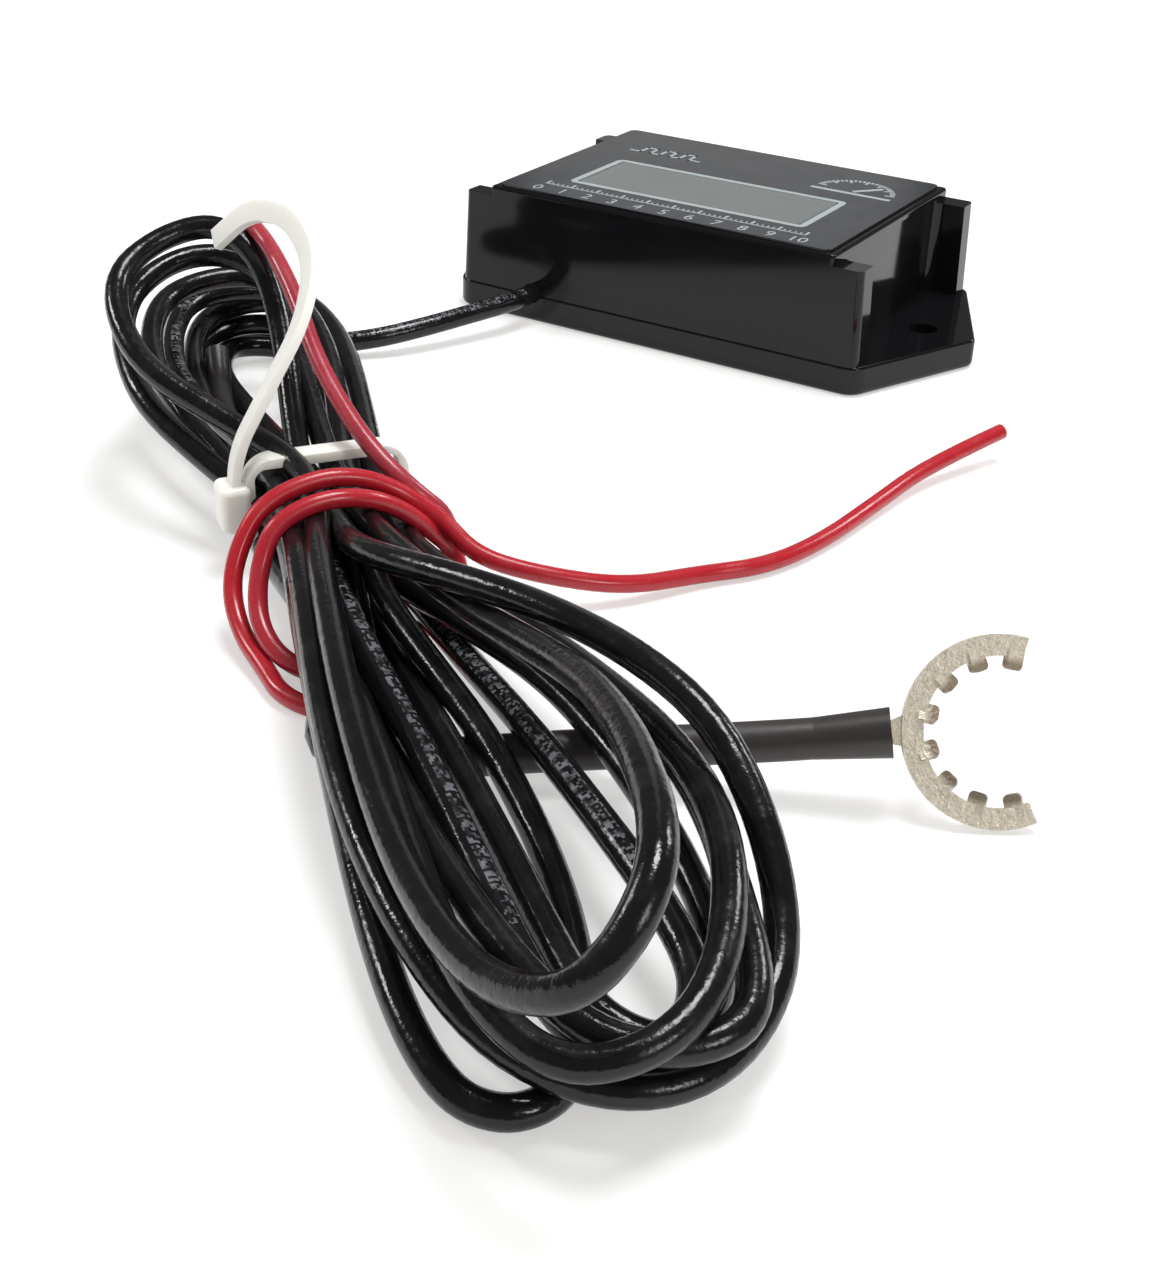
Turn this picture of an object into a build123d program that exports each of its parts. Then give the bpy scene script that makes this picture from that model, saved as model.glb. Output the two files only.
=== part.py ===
from build123d import *
import math
import os

os.makedirs("parts", exist_ok=True)

# Driving dimensions of the housing, millimetres and degrees.
# Origin under the middle of the base plate, +X along the housing, the cable leaves towards -Y, +Z up.
body_length = 65.0
body_depth = 42.2
seam_height = 4.2
deck_height = 19.1
post_drop = 1.5
draft_angle = 2.2
post_corner_radius = 1.5
deck_corner_radius = 0.6
deck_edge_radius = 0.5
cover_wall = 1.6
cover_roof = 1.8
cavity_corner_radius = 1.0
recess_depth = 5.2
post_depth = 4.2
recess_corner_radius = 1.6
deck_lip = 0.4
deck_lip_thickness = 1.0

# Base plate
base_proud = 0.1
ear_reach = 9.4
base_corner_radius = 3.2
ear_tip_radius = 1.5
base_edge_radius = 0.9
base_rim_radius = 0.35
tray_floor = 2.0
ear_hole_spacing = 68.0
ear_hole_radius = 2.05
standoff_radius = 1.6
standoff_inset_x = 1.8
standoff_inset_y = 5.0

# Closure screws
screw_radius = 0.9
screw_clearance = 0.05
screw_head_radius = 1.6
screw_head_height = 1.0
screw_length = 10.0
screw_inset_x = 2.9
screw_inset_y = 2.5
screw_drive_width = 0.5
screw_drive_depth = 0.5
screw_hole_relief = 0.15
head_clearance = 0.1
pilot_extra_depth = 1.0

# Seal between cover and base
gasket_width = 0.8
gasket_height = 0.6
gasket_groove_clearance = 0.05

# Window, label and display
window_length = 36.2
window_depth = 13.4
window_x = 0.2
window_y = -5.1
window_clearance = 0.1
lens_flange = 1.1
lens_flange_thickness = 0.4
window_roof = 0.8
label_length = 53.3
label_depth = 39.6
label_thickness = 0.35
label_corner_radius = 1.2
window_corner_radius = 0.5
flange_corner_radius = 1.0
glass_length = 40.0
front_pane_depth = 18.0
rear_pane_depth = 13.2
pane_thickness = 0.7
glass_clearance = 0.2
reflector_length = 37.0
reflector_depth = 12.0
reflector_thickness = 0.2
zebra_length = 38.0
zebra_width = 1.4
zebra_offset = 8.1
zebra_clearance = 0.1
holder_length = 44.0
holder_depth = 22.0
holder_opening_length = 37.4
holder_opening_depth = 12.4
holder_top_gap = 0.1
holder_corner_radius = 1.0

# Circuit board and its parts
board_length = 48.0
board_depth = 34.0
board_thickness = 1.6
board_top = 12.2
board_corner_radius = 1.0
chip_size = 9.0
chip_thickness = 1.4
chip_x = -13.5
chip_y = 7.0
chip_leads = 8
lead_pitch = 1.0
lead_width = 0.4
lead_reach = 1.0
lead_thickness = 0.2
crystal_radius = 1.05
crystal_length = 6.2
crystal_x = -15.0
crystal_lead_radius = 0.18
crystal_lead_length = 3.0
rear_row_y = 11.5
capacitor_length = 5.0
capacitor_depth = 2.5
capacitor_roof_gap = 0.9
capacitor_x = -2.0
diode_radius = 1.0
diode_length = 4.0
diode_lead_radius = 0.25
diode_lead_length = 8.0
diode_x = 9.0
resistor_length = 1.6
resistor_width = 0.8
resistor_height = 0.5
resistor_count = 4
resistor_pitch = 2.6
resistor_x = -6.0
resistor_row_y = 15.0

# Battery under the board
battery_radius = 12.25
battery_height = 5.0
battery_x = 8.0
battery_step_radius = 10.6
battery_step_height = 0.8
cradle_height = 2.6
cradle_inner_radius = 6.5
cradle_outer_radius = 8.5
tab_thickness = 0.25
tab_width = 6.0
tab_gap = 1.2
tab_inner_reach = 7.0

# Cable entry
cable_radius = 1.4
cable_hole_clearance = 0.1
exit_x = -19.86
exit_z = 4.3
inner_lead_length = 6.0
retainer_radius = 2.25
retainer_length = 3.0
retainer_gap = 0.1
retainer_bore_clearance = 0.03
core_radius = 0.45
core_offset = 0.6
braid_radius = 0.55
braid_offset = 0.7
braid_spread = 5.0
core_spread = 0.4
pigtail_straight = 1.6

# Cords. The hank's own frame runs along the bundle, across it, and up.
hank_x = 2.6
hank_y = -97.8
hank_along = (0.8, -0.6)
wire_radius = 1.0
tube_bend_share = 0.45
lead_straight = 4.0
channel_clearance = 0.3

# Cable tie
tie_width = 2.5
tie_thickness = 1.1
tie_clearance = 0.1
tie_corner_radius = 3.4
tie_head_depth = 3.4
tie_head_length = 4.4
tie_head_height = 5.4
tie_head_corner_radius = 0.8
tie_tail_thickness = 1.0

# Ground terminal and its sleeve
ring_outer_radius = 8.7
ring_root_radius = 6.75
ring_thickness = 0.8
ring_open_top = 74.0
ring_open_bottom = -66.0
ring_lean = 30.0
ring_floor_gap = 0.05
ring_centre_x = 82.4
ring_centre_y = -103.3
ring_heading = (0.853, 0.522)
tooth_count = 8
tooth_first_angle = 80.0
tooth_pitch_angle = 29.0
tooth_width = 1.6
tooth_tip_radius = 5.6
tooth_corner_radius = 0.45
tooth_twist = 22.0
tab_ring_width = 3.4
barrel_radius = 1.5
barrel_length = 7.0
barrel_clearance = 0.05
sleeve_radius = 1.9
sleeve_flare_radius = 2.3
sleeve_flare_length = 7.0
splice_radius = 1.5

half_length = body_length / 2
half_depth = body_depth / 2
recess_x = half_length - recess_depth
recess_y = half_depth - post_depth
deck_x = recess_x + deck_lip
post_height = deck_height - post_drop
roof_z = deck_height - cover_roof
capacitor_height = roof_z - capacitor_roof_gap - board_top
cavity_x = recess_x - cover_wall
cavity_y = half_depth - cover_wall
window_roof_z = deck_height - window_roof
lens_step_z = window_roof_z + lens_flange_thickness
label_top = deck_height + label_thickness
board_bottom = board_top - board_thickness
glass_ledge_z = window_roof_z - pane_thickness
glass_bottom_z = glass_ledge_z - pane_thickness
screw_x = half_length - screw_inset_x
screw_y = half_depth - screw_inset_y
hank_across = (-hank_along[1], hank_along[0])


def save(shape, name):
    """Writes one sub-part to its own file."""
    shape.label = name
    export_step(shape, f"parts/{name}.step")


def upright_block(length, depth, height, radius, base_z, taper=0.0, centre=(0.0, 0.0)):
    """Block with rounded upright corners that stands on base_z."""
    plane = Plane.XY.offset(base_z)
    outline = plane * Pos(centre[0], centre[1]) * RectangleRounded(length, depth, radius)
    return extrude(outline, amount=height, taper=taper)


def plain_block(x_range, y_range, z_range):
    """Square block between two corners."""
    size = [high - low for low, high in (x_range, y_range, z_range)]
    middle = [(high + low) / 2 for low, high in (x_range, y_range, z_range)]
    return Pos(*middle) * Box(*size)


def upright_cylinder(x, y, base_z, radius, height):
    """Cylinder that stands on base_z."""
    return Pos(x, y, base_z + height / 2) * Cylinder(radius, height)


def lying_cylinder(x, y, z, radius, length):
    """Cylinder along X, centred on the given point."""
    return Pos(x, y, z) * Rot(0, 90, 0) * Cylinder(radius, length)


def wall_cylinder(y_range, radius):
    """Cylinder along Y on the cable's line."""
    middle = (y_range[0] + y_range[1]) / 2
    length = y_range[1] - y_range[0]
    return Pos(exit_x, middle, exit_z) * Rot(90, 0, 0) * Cylinder(radius, length)


def corner_points(x, y):
    """The four corners of a centred rectangle."""
    return [(side_x * x, side_y * y) for side_x in (-1, 1) for side_y in (-1, 1)]


def end_recess(side):
    """Bay between two corner posts, with rounded inner corners, open to the end."""
    reach = recess_depth + base_proud + recess_corner_radius
    outline = Pos(side * (recess_x + reach / 2), 0) * Rectangle(reach, 2 * recess_y)
    inner = sorted(outline.vertices(), key=lambda corner: side * corner.X)[:2]
    outline = fillet(inner, recess_corner_radius)
    height = deck_height - deck_lip_thickness - seam_height
    return extrude(Plane.XY.offset(seam_height) * outline, amount=height)


def make_cover():
    """Moulded cover: raised deck between four lower corner posts, recessed ends, hollow inside."""
    height = deck_height - seam_height
    cover = upright_block(body_length, body_depth, height, post_corner_radius, seam_height, draft_angle)
    for side in (-1, 1):
        end = sorted((side * deck_x, side * (half_length + base_proud)))
        cover -= plain_block(end, (-half_depth, half_depth), (post_height, deck_height + cover_roof))
        cover -= end_recess(side)
    short = [
        edge
        for edge in cover.edges().filter_by(GeomType.LINE)
        if abs(edge.center().Z - (deck_height + post_height) / 2) < deck_edge_radius
        and abs(abs(edge.center().X) - deck_x) < deck_edge_radius
        and abs(edge.center().Y) > recess_y
    ]
    cover = fillet(short, deck_corner_radius)
    cover = fillet(cover.faces().sort_by(Axis.Z)[-1].edges(), deck_edge_radius)
    cover -= upright_block(
        2 * cavity_x, 2 * cavity_y, roof_z - seam_height, cavity_corner_radius, seam_height, draft_angle
    )
    cover -= display_pockets()
    pilot_depth = screw_length - seam_height + screw_head_height + pilot_extra_depth
    for x, y in corner_points(screw_x, screw_y):
        cover -= upright_cylinder(x, y, seam_height, screw_radius + screw_clearance, pilot_depth)
    wall_reach = (-half_depth - base_proud, -cavity_y + cover_wall)
    cover -= wall_cylinder(wall_reach, cable_radius + cable_hole_clearance)
    return cover


def display_pockets():
    """Glass pocket, lens rebate and window, cut through the roof from below."""
    centre = (window_x, window_y)
    pocket = upright_block(
        glass_length + 2 * glass_clearance,
        front_pane_depth + 2 * glass_clearance,
        window_roof_z - roof_z,
        glass_clearance,
        roof_z,
        centre=centre,
    )
    rebate = upright_block(
        window_length + 2 * lens_flange,
        window_depth + 2 * lens_flange,
        lens_flange_thickness,
        flange_corner_radius,
        window_roof_z,
        centre=centre,
    )
    return pocket + rebate + window_opening(lens_step_z, deck_height)


def window_opening(low_z, high_z):
    """Straight opening of the window between two heights."""
    return upright_block(
        window_length, window_depth, high_z - low_z, window_corner_radius, low_z, centre=(window_x, window_y)
    )


def base_outline():
    """Six-sided plate outline: the body's sides, drawn out to an ear at each end."""
    side_x = half_length + base_proud
    side_y = half_depth + base_proud
    tip_x = side_x + ear_reach
    right_end = [(side_x, -side_y), (tip_x, 0), (side_x, side_y)]
    corners = right_end + [(-x, -y) for x, y in right_end]
    outline = make_face(Polyline(*corners, close=True))
    ear_tips = [corner for corner in outline.vertices() if abs(corner.X) > half_length + ear_reach / 2]
    outline = fillet(ear_tips, ear_tip_radius)
    long_side_corners = [corner for corner in outline.vertices() if abs(corner.Y) > half_depth]
    return fillet(long_side_corners, base_corner_radius)


def gasket_ring(width, height):
    """Ring that follows the middle of the cover's foot, on the seam."""
    middle_x = cavity_x + cover_wall / 2
    middle_y = cavity_y + cover_wall / 2
    ring = RectangleRounded(2 * middle_x + width, 2 * middle_y + width, cavity_corner_radius + width)
    ring -= RectangleRounded(2 * middle_x - width, 2 * middle_y - width, cavity_corner_radius)
    return extrude(Plane.XY.offset(seam_height - height) * ring, amount=height)


def make_base():
    """Base plate: shallow tray, two ears with mounting holes, screw seats, standoffs and battery cradle."""
    plate = extrude(base_outline(), amount=seam_height)
    plate = fillet(plate.faces().sort_by(Axis.Z)[0].edges(), base_edge_radius)
    plate = fillet(plate.faces().sort_by(Axis.Z)[-1].edges(), base_rim_radius)
    tray_depth = seam_height - tray_floor
    plate -= upright_block(2 * cavity_x, 2 * cavity_y, tray_depth, cavity_corner_radius, tray_floor)
    plate -= gasket_ring(gasket_width + 2 * gasket_groove_clearance, gasket_height)
    for side in (-1, 1):
        plate -= upright_cylinder(side * ear_hole_spacing / 2, 0, 0, ear_hole_radius, seam_height)
    for x, y in corner_points(screw_x, screw_y):
        plate -= upright_cylinder(x, y, 0, screw_radius + screw_hole_relief, seam_height)
        plate -= screw_head(x, y, head_clearance)
    for x, y in standoff_places():
        plate += upright_cylinder(x, y, tray_floor, standoff_radius, board_bottom - tray_floor)
    plate += battery_cradle()
    wall_reach = (-half_depth - base_proud, -cavity_y + cover_wall)
    plate -= wall_cylinder(wall_reach, cable_radius + cable_hole_clearance)
    return plate


def standoff_places():
    """Where the standoffs carry the board."""
    return corner_points(board_length / 2 - standoff_inset_x, board_depth / 2 - standoff_inset_y)


def battery_cradle():
    """Low ring on the tray floor that the battery's lower tab lies on."""
    ring = upright_cylinder(battery_x, 0, tray_floor, cradle_outer_radius, cradle_height)
    return ring - upright_cylinder(battery_x, 0, tray_floor, cradle_inner_radius, cradle_height)


def screw_head(x, y, clearance):
    """Countersunk head, wide end down, flush with the plate's underside."""
    cone = Cone(screw_head_radius + clearance, screw_radius + clearance, screw_head_height)
    return Pos(x, y, screw_head_height / 2) * cone


def make_screws():
    """Four countersunk screws, driven up through the base into the posts."""
    screws = []
    for x, y in corner_points(screw_x, screw_y):
        screw = screw_head(x, y, 0.0)
        screw += upright_cylinder(x, y, screw_head_height, screw_radius, screw_length - screw_head_height)
        half_slot = screw_head_radius + head_clearance
        slot = (screw_drive_width / 2, half_slot)
        for half_x, half_y in (slot, slot[::-1]):
            drive_x = (x - half_x / 2, x + half_x / 2)
            drive_y = (y - half_y / 2, y + half_y / 2)
            screw -= plain_block(drive_x, drive_y, (0, screw_drive_depth))
        screws.append(screw)
    return Compound(children=screws)


def make_gasket():
    """Seal in the base's groove, parted where the cable passes."""
    gasket = gasket_ring(gasket_width, gasket_height)
    return gasket - wall_cylinder((-half_depth, -cavity_y + cover_wall), cable_radius + cable_hole_clearance)


def make_label():
    """Printed film on the deck, cut out round the window."""
    film = upright_block(label_length, label_depth, label_thickness, label_corner_radius, deck_height)
    return film - window_opening(deck_height, label_top)


def make_lens():
    """Clear window: a plug through roof and label, on a flange held under the roof."""
    centre = (window_x, window_y)
    flange = upright_block(
        window_length + 2 * (lens_flange - window_clearance),
        window_depth + 2 * (lens_flange - window_clearance),
        lens_flange_thickness,
        flange_corner_radius,
        window_roof_z,
        centre=centre,
    )
    plug = upright_block(
        window_length - 2 * window_clearance,
        window_depth - 2 * window_clearance,
        label_top - lens_step_z,
        window_corner_radius,
        lens_step_z,
        centre=centre,
    )
    return flange + plug


def display_block(length, depth, base_z, height):
    """Block centred under the window."""
    x_range = (window_x - length / 2, window_x + length / 2)
    y_range = (window_y - depth / 2, window_y + depth / 2)
    return plain_block(x_range, y_range, (base_z, base_z + height))


def make_glass():
    """Display cell of two bonded panes; the wider front one leaves a contact ledge along each side."""
    front = display_block(glass_length, front_pane_depth, glass_ledge_z, pane_thickness)
    return front + display_block(glass_length, rear_pane_depth, glass_bottom_z, pane_thickness)


def make_reflector():
    """Thin reflector behind the display cell."""
    base_z = glass_bottom_z - reflector_thickness
    return display_block(reflector_length, reflector_depth, base_z, reflector_thickness)


def zebra_block(side, clearance):
    """Contact strip from the board up to the ledge of the front pane."""
    middle_y = window_y + side * zebra_offset
    half_x = zebra_length / 2 + clearance
    half_y = zebra_width / 2 + clearance
    x_range = (window_x - half_x, window_x + half_x)
    y_range = (middle_y - half_y, middle_y + half_y)
    return plain_block(x_range, y_range, (board_top, glass_ledge_z))


def make_holder():
    """Moulded frame on the board: carries the cell's rim and guides both contact strips."""
    height = roof_z - holder_top_gap - board_top
    holder = upright_block(
        holder_length, holder_depth, height, holder_corner_radius, board_top, centre=(window_x, window_y)
    )
    holder -= display_block(holder_opening_length, holder_opening_depth, board_top, height)
    pocket_depth = rear_pane_depth + 2 * glass_clearance
    pocket_height = board_top + height - glass_bottom_z
    holder -= display_block(glass_length + 2 * glass_clearance, pocket_depth, glass_bottom_z, pocket_height)
    for side in (-1, 1):
        holder -= zebra_block(side, zebra_clearance)
    return holder


def make_board():
    """Circuit board on the four standoffs."""
    return upright_block(board_length, board_depth, board_thickness, board_corner_radius, board_bottom)


def make_chip():
    """Controller under the board: a flat package with leads along two sides."""
    base_z = board_bottom - chip_thickness
    body_height = chip_thickness - lead_thickness
    chip = upright_block(chip_size, chip_size, body_height, lead_width, base_z, centre=(chip_x, chip_y))
    row = (chip_leads - 1) * lead_pitch / 2
    for index in range(chip_leads):
        x = chip_x - row + index * lead_pitch
        x_range = (x - lead_width / 2, x + lead_width / 2)
        for side in (-1, 1):
            inner = chip_y + side * (chip_size / 2 - lead_reach)
            outer = chip_y + side * (chip_size / 2 + lead_reach)
            foot = plain_block(x_range, sorted((inner, outer)), (board_bottom - lead_thickness, board_bottom))
            chip += foot
    return chip


def make_crystal():
    """Quartz crystal: a small can lying on the board, with two leads."""
    can_z = board_top + crystal_radius
    crystal = lying_cylinder(crystal_x, rear_row_y, can_z, crystal_radius, crystal_length)
    crystal = fillet(crystal.edges().sort_by(Axis.X)[0], crystal_radius / 3)
    lead_x = crystal_x + (crystal_length + crystal_lead_length) / 2
    for side in (-1, 1):
        lead_y = rear_row_y + side * crystal_radius / 2
        crystal += lying_cylinder(lead_x, lead_y, can_z, crystal_lead_radius, crystal_lead_length)
    return crystal


def make_capacitor():
    """Input capacitor: a dipped block with rounded edges."""
    block = upright_block(
        capacitor_length,
        capacitor_depth,
        capacitor_height,
        capacitor_depth / 4,
        board_top,
        centre=(capacitor_x, rear_row_y),
    )
    return fillet(block.faces().sort_by(Axis.Z)[-1].edges(), capacitor_depth / 5)


def make_diode():
    """Clamp diode: a round body on its two leads."""
    lead = lying_cylinder(diode_x, rear_row_y, board_top + diode_radius, diode_lead_radius, diode_lead_length)
    return lead + lying_cylinder(diode_x, rear_row_y, board_top + diode_radius, diode_radius, diode_length)


def make_resistors():
    """Row of chip resistors on the board."""
    row = []
    for index in range(resistor_count):
        x = resistor_x + index * resistor_pitch
        x_range = (x - resistor_length / 2, x + resistor_length / 2)
        y_range = (resistor_row_y - resistor_width / 2, resistor_row_y + resistor_width / 2)
        row.append(plain_block(x_range, y_range, (board_top, board_top + resistor_height)))
    return Compound(children=row)


def battery_base():
    """Height of the battery's underside, on the lower tab."""
    return tray_floor + cradle_height + tab_thickness


def make_battery():
    """Coin cell: a stepped can, narrower at its lower terminal."""
    base_z = battery_base()
    cell = upright_cylinder(battery_x, 0, base_z, battery_step_radius, battery_height)
    can_z = base_z + battery_step_height
    cell += upright_cylinder(battery_x, 0, can_z, battery_radius, battery_height - battery_step_height)
    return fillet(cell.faces().sort_by(Axis.Z)[-1].edges(), battery_step_height / 2)


def battery_tab(side, contact_z, riser_base):
    """Strip from the battery's face out past its rim, with a leg up to the board."""
    outer_x = battery_x + side * (battery_radius + tab_gap)
    inner_x = battery_x + side * (battery_radius - tab_inner_reach)
    y_range = (-tab_width / 2, tab_width / 2)
    strip = plain_block(sorted((inner_x, outer_x)), y_range, (contact_z, contact_z + tab_thickness))
    leg_x = sorted((outer_x, outer_x - side * tab_thickness))
    return strip + plain_block(leg_x, y_range, (riser_base, board_bottom))


def make_positive_tab():
    """Upper battery tab, on the cell's top face."""
    contact_z = battery_base() + battery_height
    return battery_tab(1, contact_z, contact_z)


def make_negative_tab():
    """Lower battery tab, between the cradle and the cell."""
    contact_z = battery_base() - tab_thickness
    return battery_tab(-1, contact_z, contact_z)


def make_retainer():
    """Crimped collar behind the wall that keeps the cable from pulling out."""
    start = -cavity_y + retainer_gap
    span = (start, start + retainer_length)
    collar = wall_cylinder(span, retainer_radius)
    collar = fillet(collar.edges().filter_by(GeomType.CIRCLE), retainer_radius / 8)
    return collar - wall_cylinder(span, cable_radius + retainer_bore_clearance)


def make_inner_lead():
    """Cable inside the wall, up to where its jacket ends."""
    return wall_cylinder((-half_depth, -half_depth + inner_lead_length), cable_radius)


def pigtail(offset_z, spread, radius):
    """One stripped conductor, from the jacket's end up to a pad under the board."""
    start_y = -half_depth + inner_lead_length
    start_z = exit_z + offset_z
    rise = board_bottom - start_z
    pad = (exit_x + spread, start_y + pigtail_straight + rise / 2)
    points = [
        (exit_x, start_y, start_z),
        (exit_x, start_y + pigtail_straight, start_z),
        (*pad, start_z + rise / 2),
        (*pad, board_bottom),
    ]
    return cord_tube("pigtail", points, radius)


def make_core():
    """Insulated centre conductor."""
    return pigtail(core_offset, core_spread, core_radius)


def make_braid():
    """Twisted braid of the cable's screen."""
    return pigtail(-braid_offset, braid_spread, braid_radius)


def hank_point(along, across, z):
    """Point given in the hank's own frame."""
    x = hank_x + hank_along[0] * along + hank_across[0] * across
    y = hank_y + hank_along[1] * along + hank_across[1] * across
    return (x, y, z)


def bend_radii(points):
    """Radius of the arc at each corner of a route, as large as its two runs allow."""
    route = [Vector(*point) for point in points]
    radii = []
    for before, corner, after in zip(route, route[1:], route[2:]):
        run_in = corner - before
        run_out = after - corner
        half_turn = math.radians(run_in.get_angle(run_out)) / 2
        radii.append(tube_bend_share * min(run_in.length, run_out.length) / math.tan(half_turn))
    return radii


def cord_tube(name, points, radius):
    """Tube along straight runs joined by tangent arcs."""
    radii = bend_radii(points)
    path = FilletPolyline(*points, radius=radii)
    section = Plane(origin=path @ 0, z_dir=path % 0) * Circle(radius)
    tube = sweep(section, path)
    expected = path.length * math.pi * radius**2
    print(f"{name} length {path.length:.1f} volume ratio {tube.volume / expected:.4f}")
    print(f"{name} radii", [round(value, 1) for value in radii])
    return tube


def closed_tube(name, points, radius):
    """Closed ring of tube, joined from two halves that meet in the middle of two runs."""
    half = len(points) // 2
    seams = [tuple((Vector(*points[index]) + Vector(*points[index - 1])) / 2) for index in (0, half)]
    first = cord_tube(name, [seams[0], *points[:half], seams[1]], radius)
    return first + cord_tube(name, [seams[1], *points[half:], seams[0]], radius)


# The cable's free stretch, from the housing wall down to the floor and into the far loops.
lead_route = [
    (exit_x, -half_depth, exit_z),
    (exit_x, -half_depth - lead_straight, exit_z),
    hank_point(-59.4, 37.4, 3.95),
    hank_point(-57.7, 29.6, 3.3),
    hank_point(-57.0, 22.6, 2.6),
    hank_point(-58.3, 16.4, 1.95),
    hank_point(-62.0, 11.6, 1.5),
]

# Outer shape of the hank: along, across from, across to, z from, z to.
hank_sections = [
    (-70.0, 0.5, 8.0, 0.1, 3.2),
    (-64.0, -4.0, 12.5, 0.1, 9.5),
    (-57.0, -8.0, 16.3, 0.1, 13.0),
    (-46.0, -12.5, 15.3, 0.1, 20.5),
    (-38.0, -16.0, 12.3, 0.3, 26.5),
    (-28.0, -18.8, 9.3, 0.4, 24.5),
    (-18.0, -19.0, 6.8, 0.6, 21.5),
    (-10.0, -17.0, 7.0, 0.8, 17.5),
    (-5.0, -8.6, 8.0, 1.2, 13.0),
    (-3.0, -8.0, 8.0, 1.2, 11.5),
    (3.0, -8.0, 8.0, 1.2, 11.5),
    (7.0, -8.3, 8.3, 3.6, 12.0),
    (20.0, -9.0, 9.3, 3.6, 14.0),
    (32.0, -11.0, 10.6, 3.6, 16.5),
    (42.0, -12.3, 12.2, 2.0, 19.0),
    (58.0, -15.6, 14.2, 0.6, 21.5),
    (72.0, -16.4, 16.4, 0.6, 25.0),
    (84.0, -16.0, 15.8, 0.6, 28.0),
    (92.0, -14.8, 12.4, 0.8, 28.4),
    (99.5, -11.5, -1.5, 3.5, 26.5),
]
hank_round = 1.4
waist_half_width = 8.0
waist_low = 1.2
waist_high = 11.5

# Open middle of the far loops: along, across and z ranges.
far_loop_opening = ((-49.0, -19.0), (-8.5, -0.5))
far_loop_opening_radius = 3.9

# The ground lead's sleeve, from under the near loops out to the terminal.
sleeve_route = [
    (34.2, -131.1, 2.0),
    (39.0, -127.6, 2.15),
    (46.9, -122.7, 3.2),
    (57.0, -117.0, 4.4),
    (66.5, -112.0, 5.8),
    (74.3, -108.2, 7.4),
]

# The splice's cut end stands in the far loops, and its other end enters the bundle.
splice_route = [
    hank_point(-44.4, -2.9, 8.0),
    hank_point(-40.5, -3.6, 5.6),
    hank_point(-35.0, -4.3, 4.0),
    hank_point(-27.5, -4.6, 3.4),
    hank_point(-16.5, -4.4, 3.2),
]

# The red wire: out of the bundle, up behind the far loops' near side, over them and down to the wraps.
red_upper_route = [
    hank_point(-17.0, 2.0, 1.6),
    hank_point(-25.0, 2.5, 1.3),
    hank_point(-33.5, 3.1, 1.4),
    hank_point(-40.2, 3.8, 4.8),
    hank_point(-41.4, 3.4, 12.5),
    hank_point(-40.6, 2.4, 19.5),
    hank_point(-37.6, 1.0, 25.4),
    hank_point(-31.8, -0.2, 28.4),
    hank_point(-25.0, 0.8, 27.2),
    hank_point(-16.5, 1.6, 23.9),
    hank_point(-8.0, 1.5, 19.8),
    hank_point(0.5, 2.9, 15.9),
    hank_point(6.2, 4.9, 13.6),
    hank_point(9.9, 7.75, 11.45),
]

# Middle line of the two loose wraps under the tie.
red_wrap_route = [
    hank_point(14.0, 11.9, 3.2),
    hank_point(9.6, 10.7, 9.0),
    hank_point(10.2, 4.8, 13.9),
    hank_point(10.6, -3.8, 14.2),
    hank_point(12.2, -10.6, 11.4),
    hank_point(15.6, -12.6, 5.6),
    hank_point(21.5, -11.2, 1.75),
    hank_point(26.5, -3.5, 1.7),
    hank_point(22.5, 5.5, 1.75),
]
wrap_radius = 1.6

# The red wire's free tail.
red_tail_route = [
    hank_point(11.8, 11.3, 6.1),
    hank_point(15.6, 12.6, 5.6),
    hank_point(19.6, 18.4, 4.3),
    hank_point(21.8, 27.0, 2.0),
    hank_point(20.3, 36.6, 1.2),
    hank_point(20.8, 44.4, 1.15),
    hank_point(17.4, 53.2, 1.1),
    hank_point(10.6, 64.4, 1.3),
    hank_point(4.6, 74.8, 2.0),
    hank_point(1.6, 87.4, 3.8),
]

# The cable tie's free tail, up from its head.
tie_tail_route = [
    hank_point(0.0, -10.3, 6.0),
    hank_point(0.2, -9.9, 13.4),
    hank_point(-1.4, -5.6, 19.6),
    hank_point(-4.0, -0.8, 25.8),
    hank_point(-9.4, 2.0, 30.8),
    hank_point(-17.4, 1.6, 33.4),
    hank_point(-25.0, -1.4, 32.2),
    hank_point(-29.0, -4.8, 27.6),
]


def hank_plane(along):
    """Plane across the hank, with its X across and its Y up."""
    return Plane(
        origin=hank_point(along, 0, 0), x_dir=(*hank_across, 0), z_dir=(hank_across[1], -hank_across[0], 0)
    )


def hank_section(along, low, high, bottom, top):
    """Rounded section of the hank at one station."""
    middle = Pos((low + high) / 2, (bottom + top) / 2)
    return hank_plane(along) * middle * RectangleRounded(high - low, top - bottom, hank_round)


def make_hank():
    """Closed solid of the hank's outer shape, cleared round what passes through it."""
    hank = loft([hank_section(*station) for station in hank_sections], ruled=True)
    (start, end), (low, high) = far_loop_opening
    middle = hank_point((start + end) / 2, (low + high) / 2, 0)
    turn = math.degrees(math.atan2(hank_along[1], hank_along[0]))
    outline = RectangleRounded(end - start, high - low, far_loop_opening_radius)
    hank -= extrude(Pos(*middle) * Rot(0, 0, turn) * outline, amount=2 * deck_height)
    hank -= cord_tube("sleeve channel", sleeve_route, sleeve_flare_radius + channel_clearance)
    hank -= cord_tube("wire channel", red_upper_route, wire_radius + channel_clearance)
    return hank - closed_tube("wraps channel", red_wrap_route, wrap_radius + channel_clearance)


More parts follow.
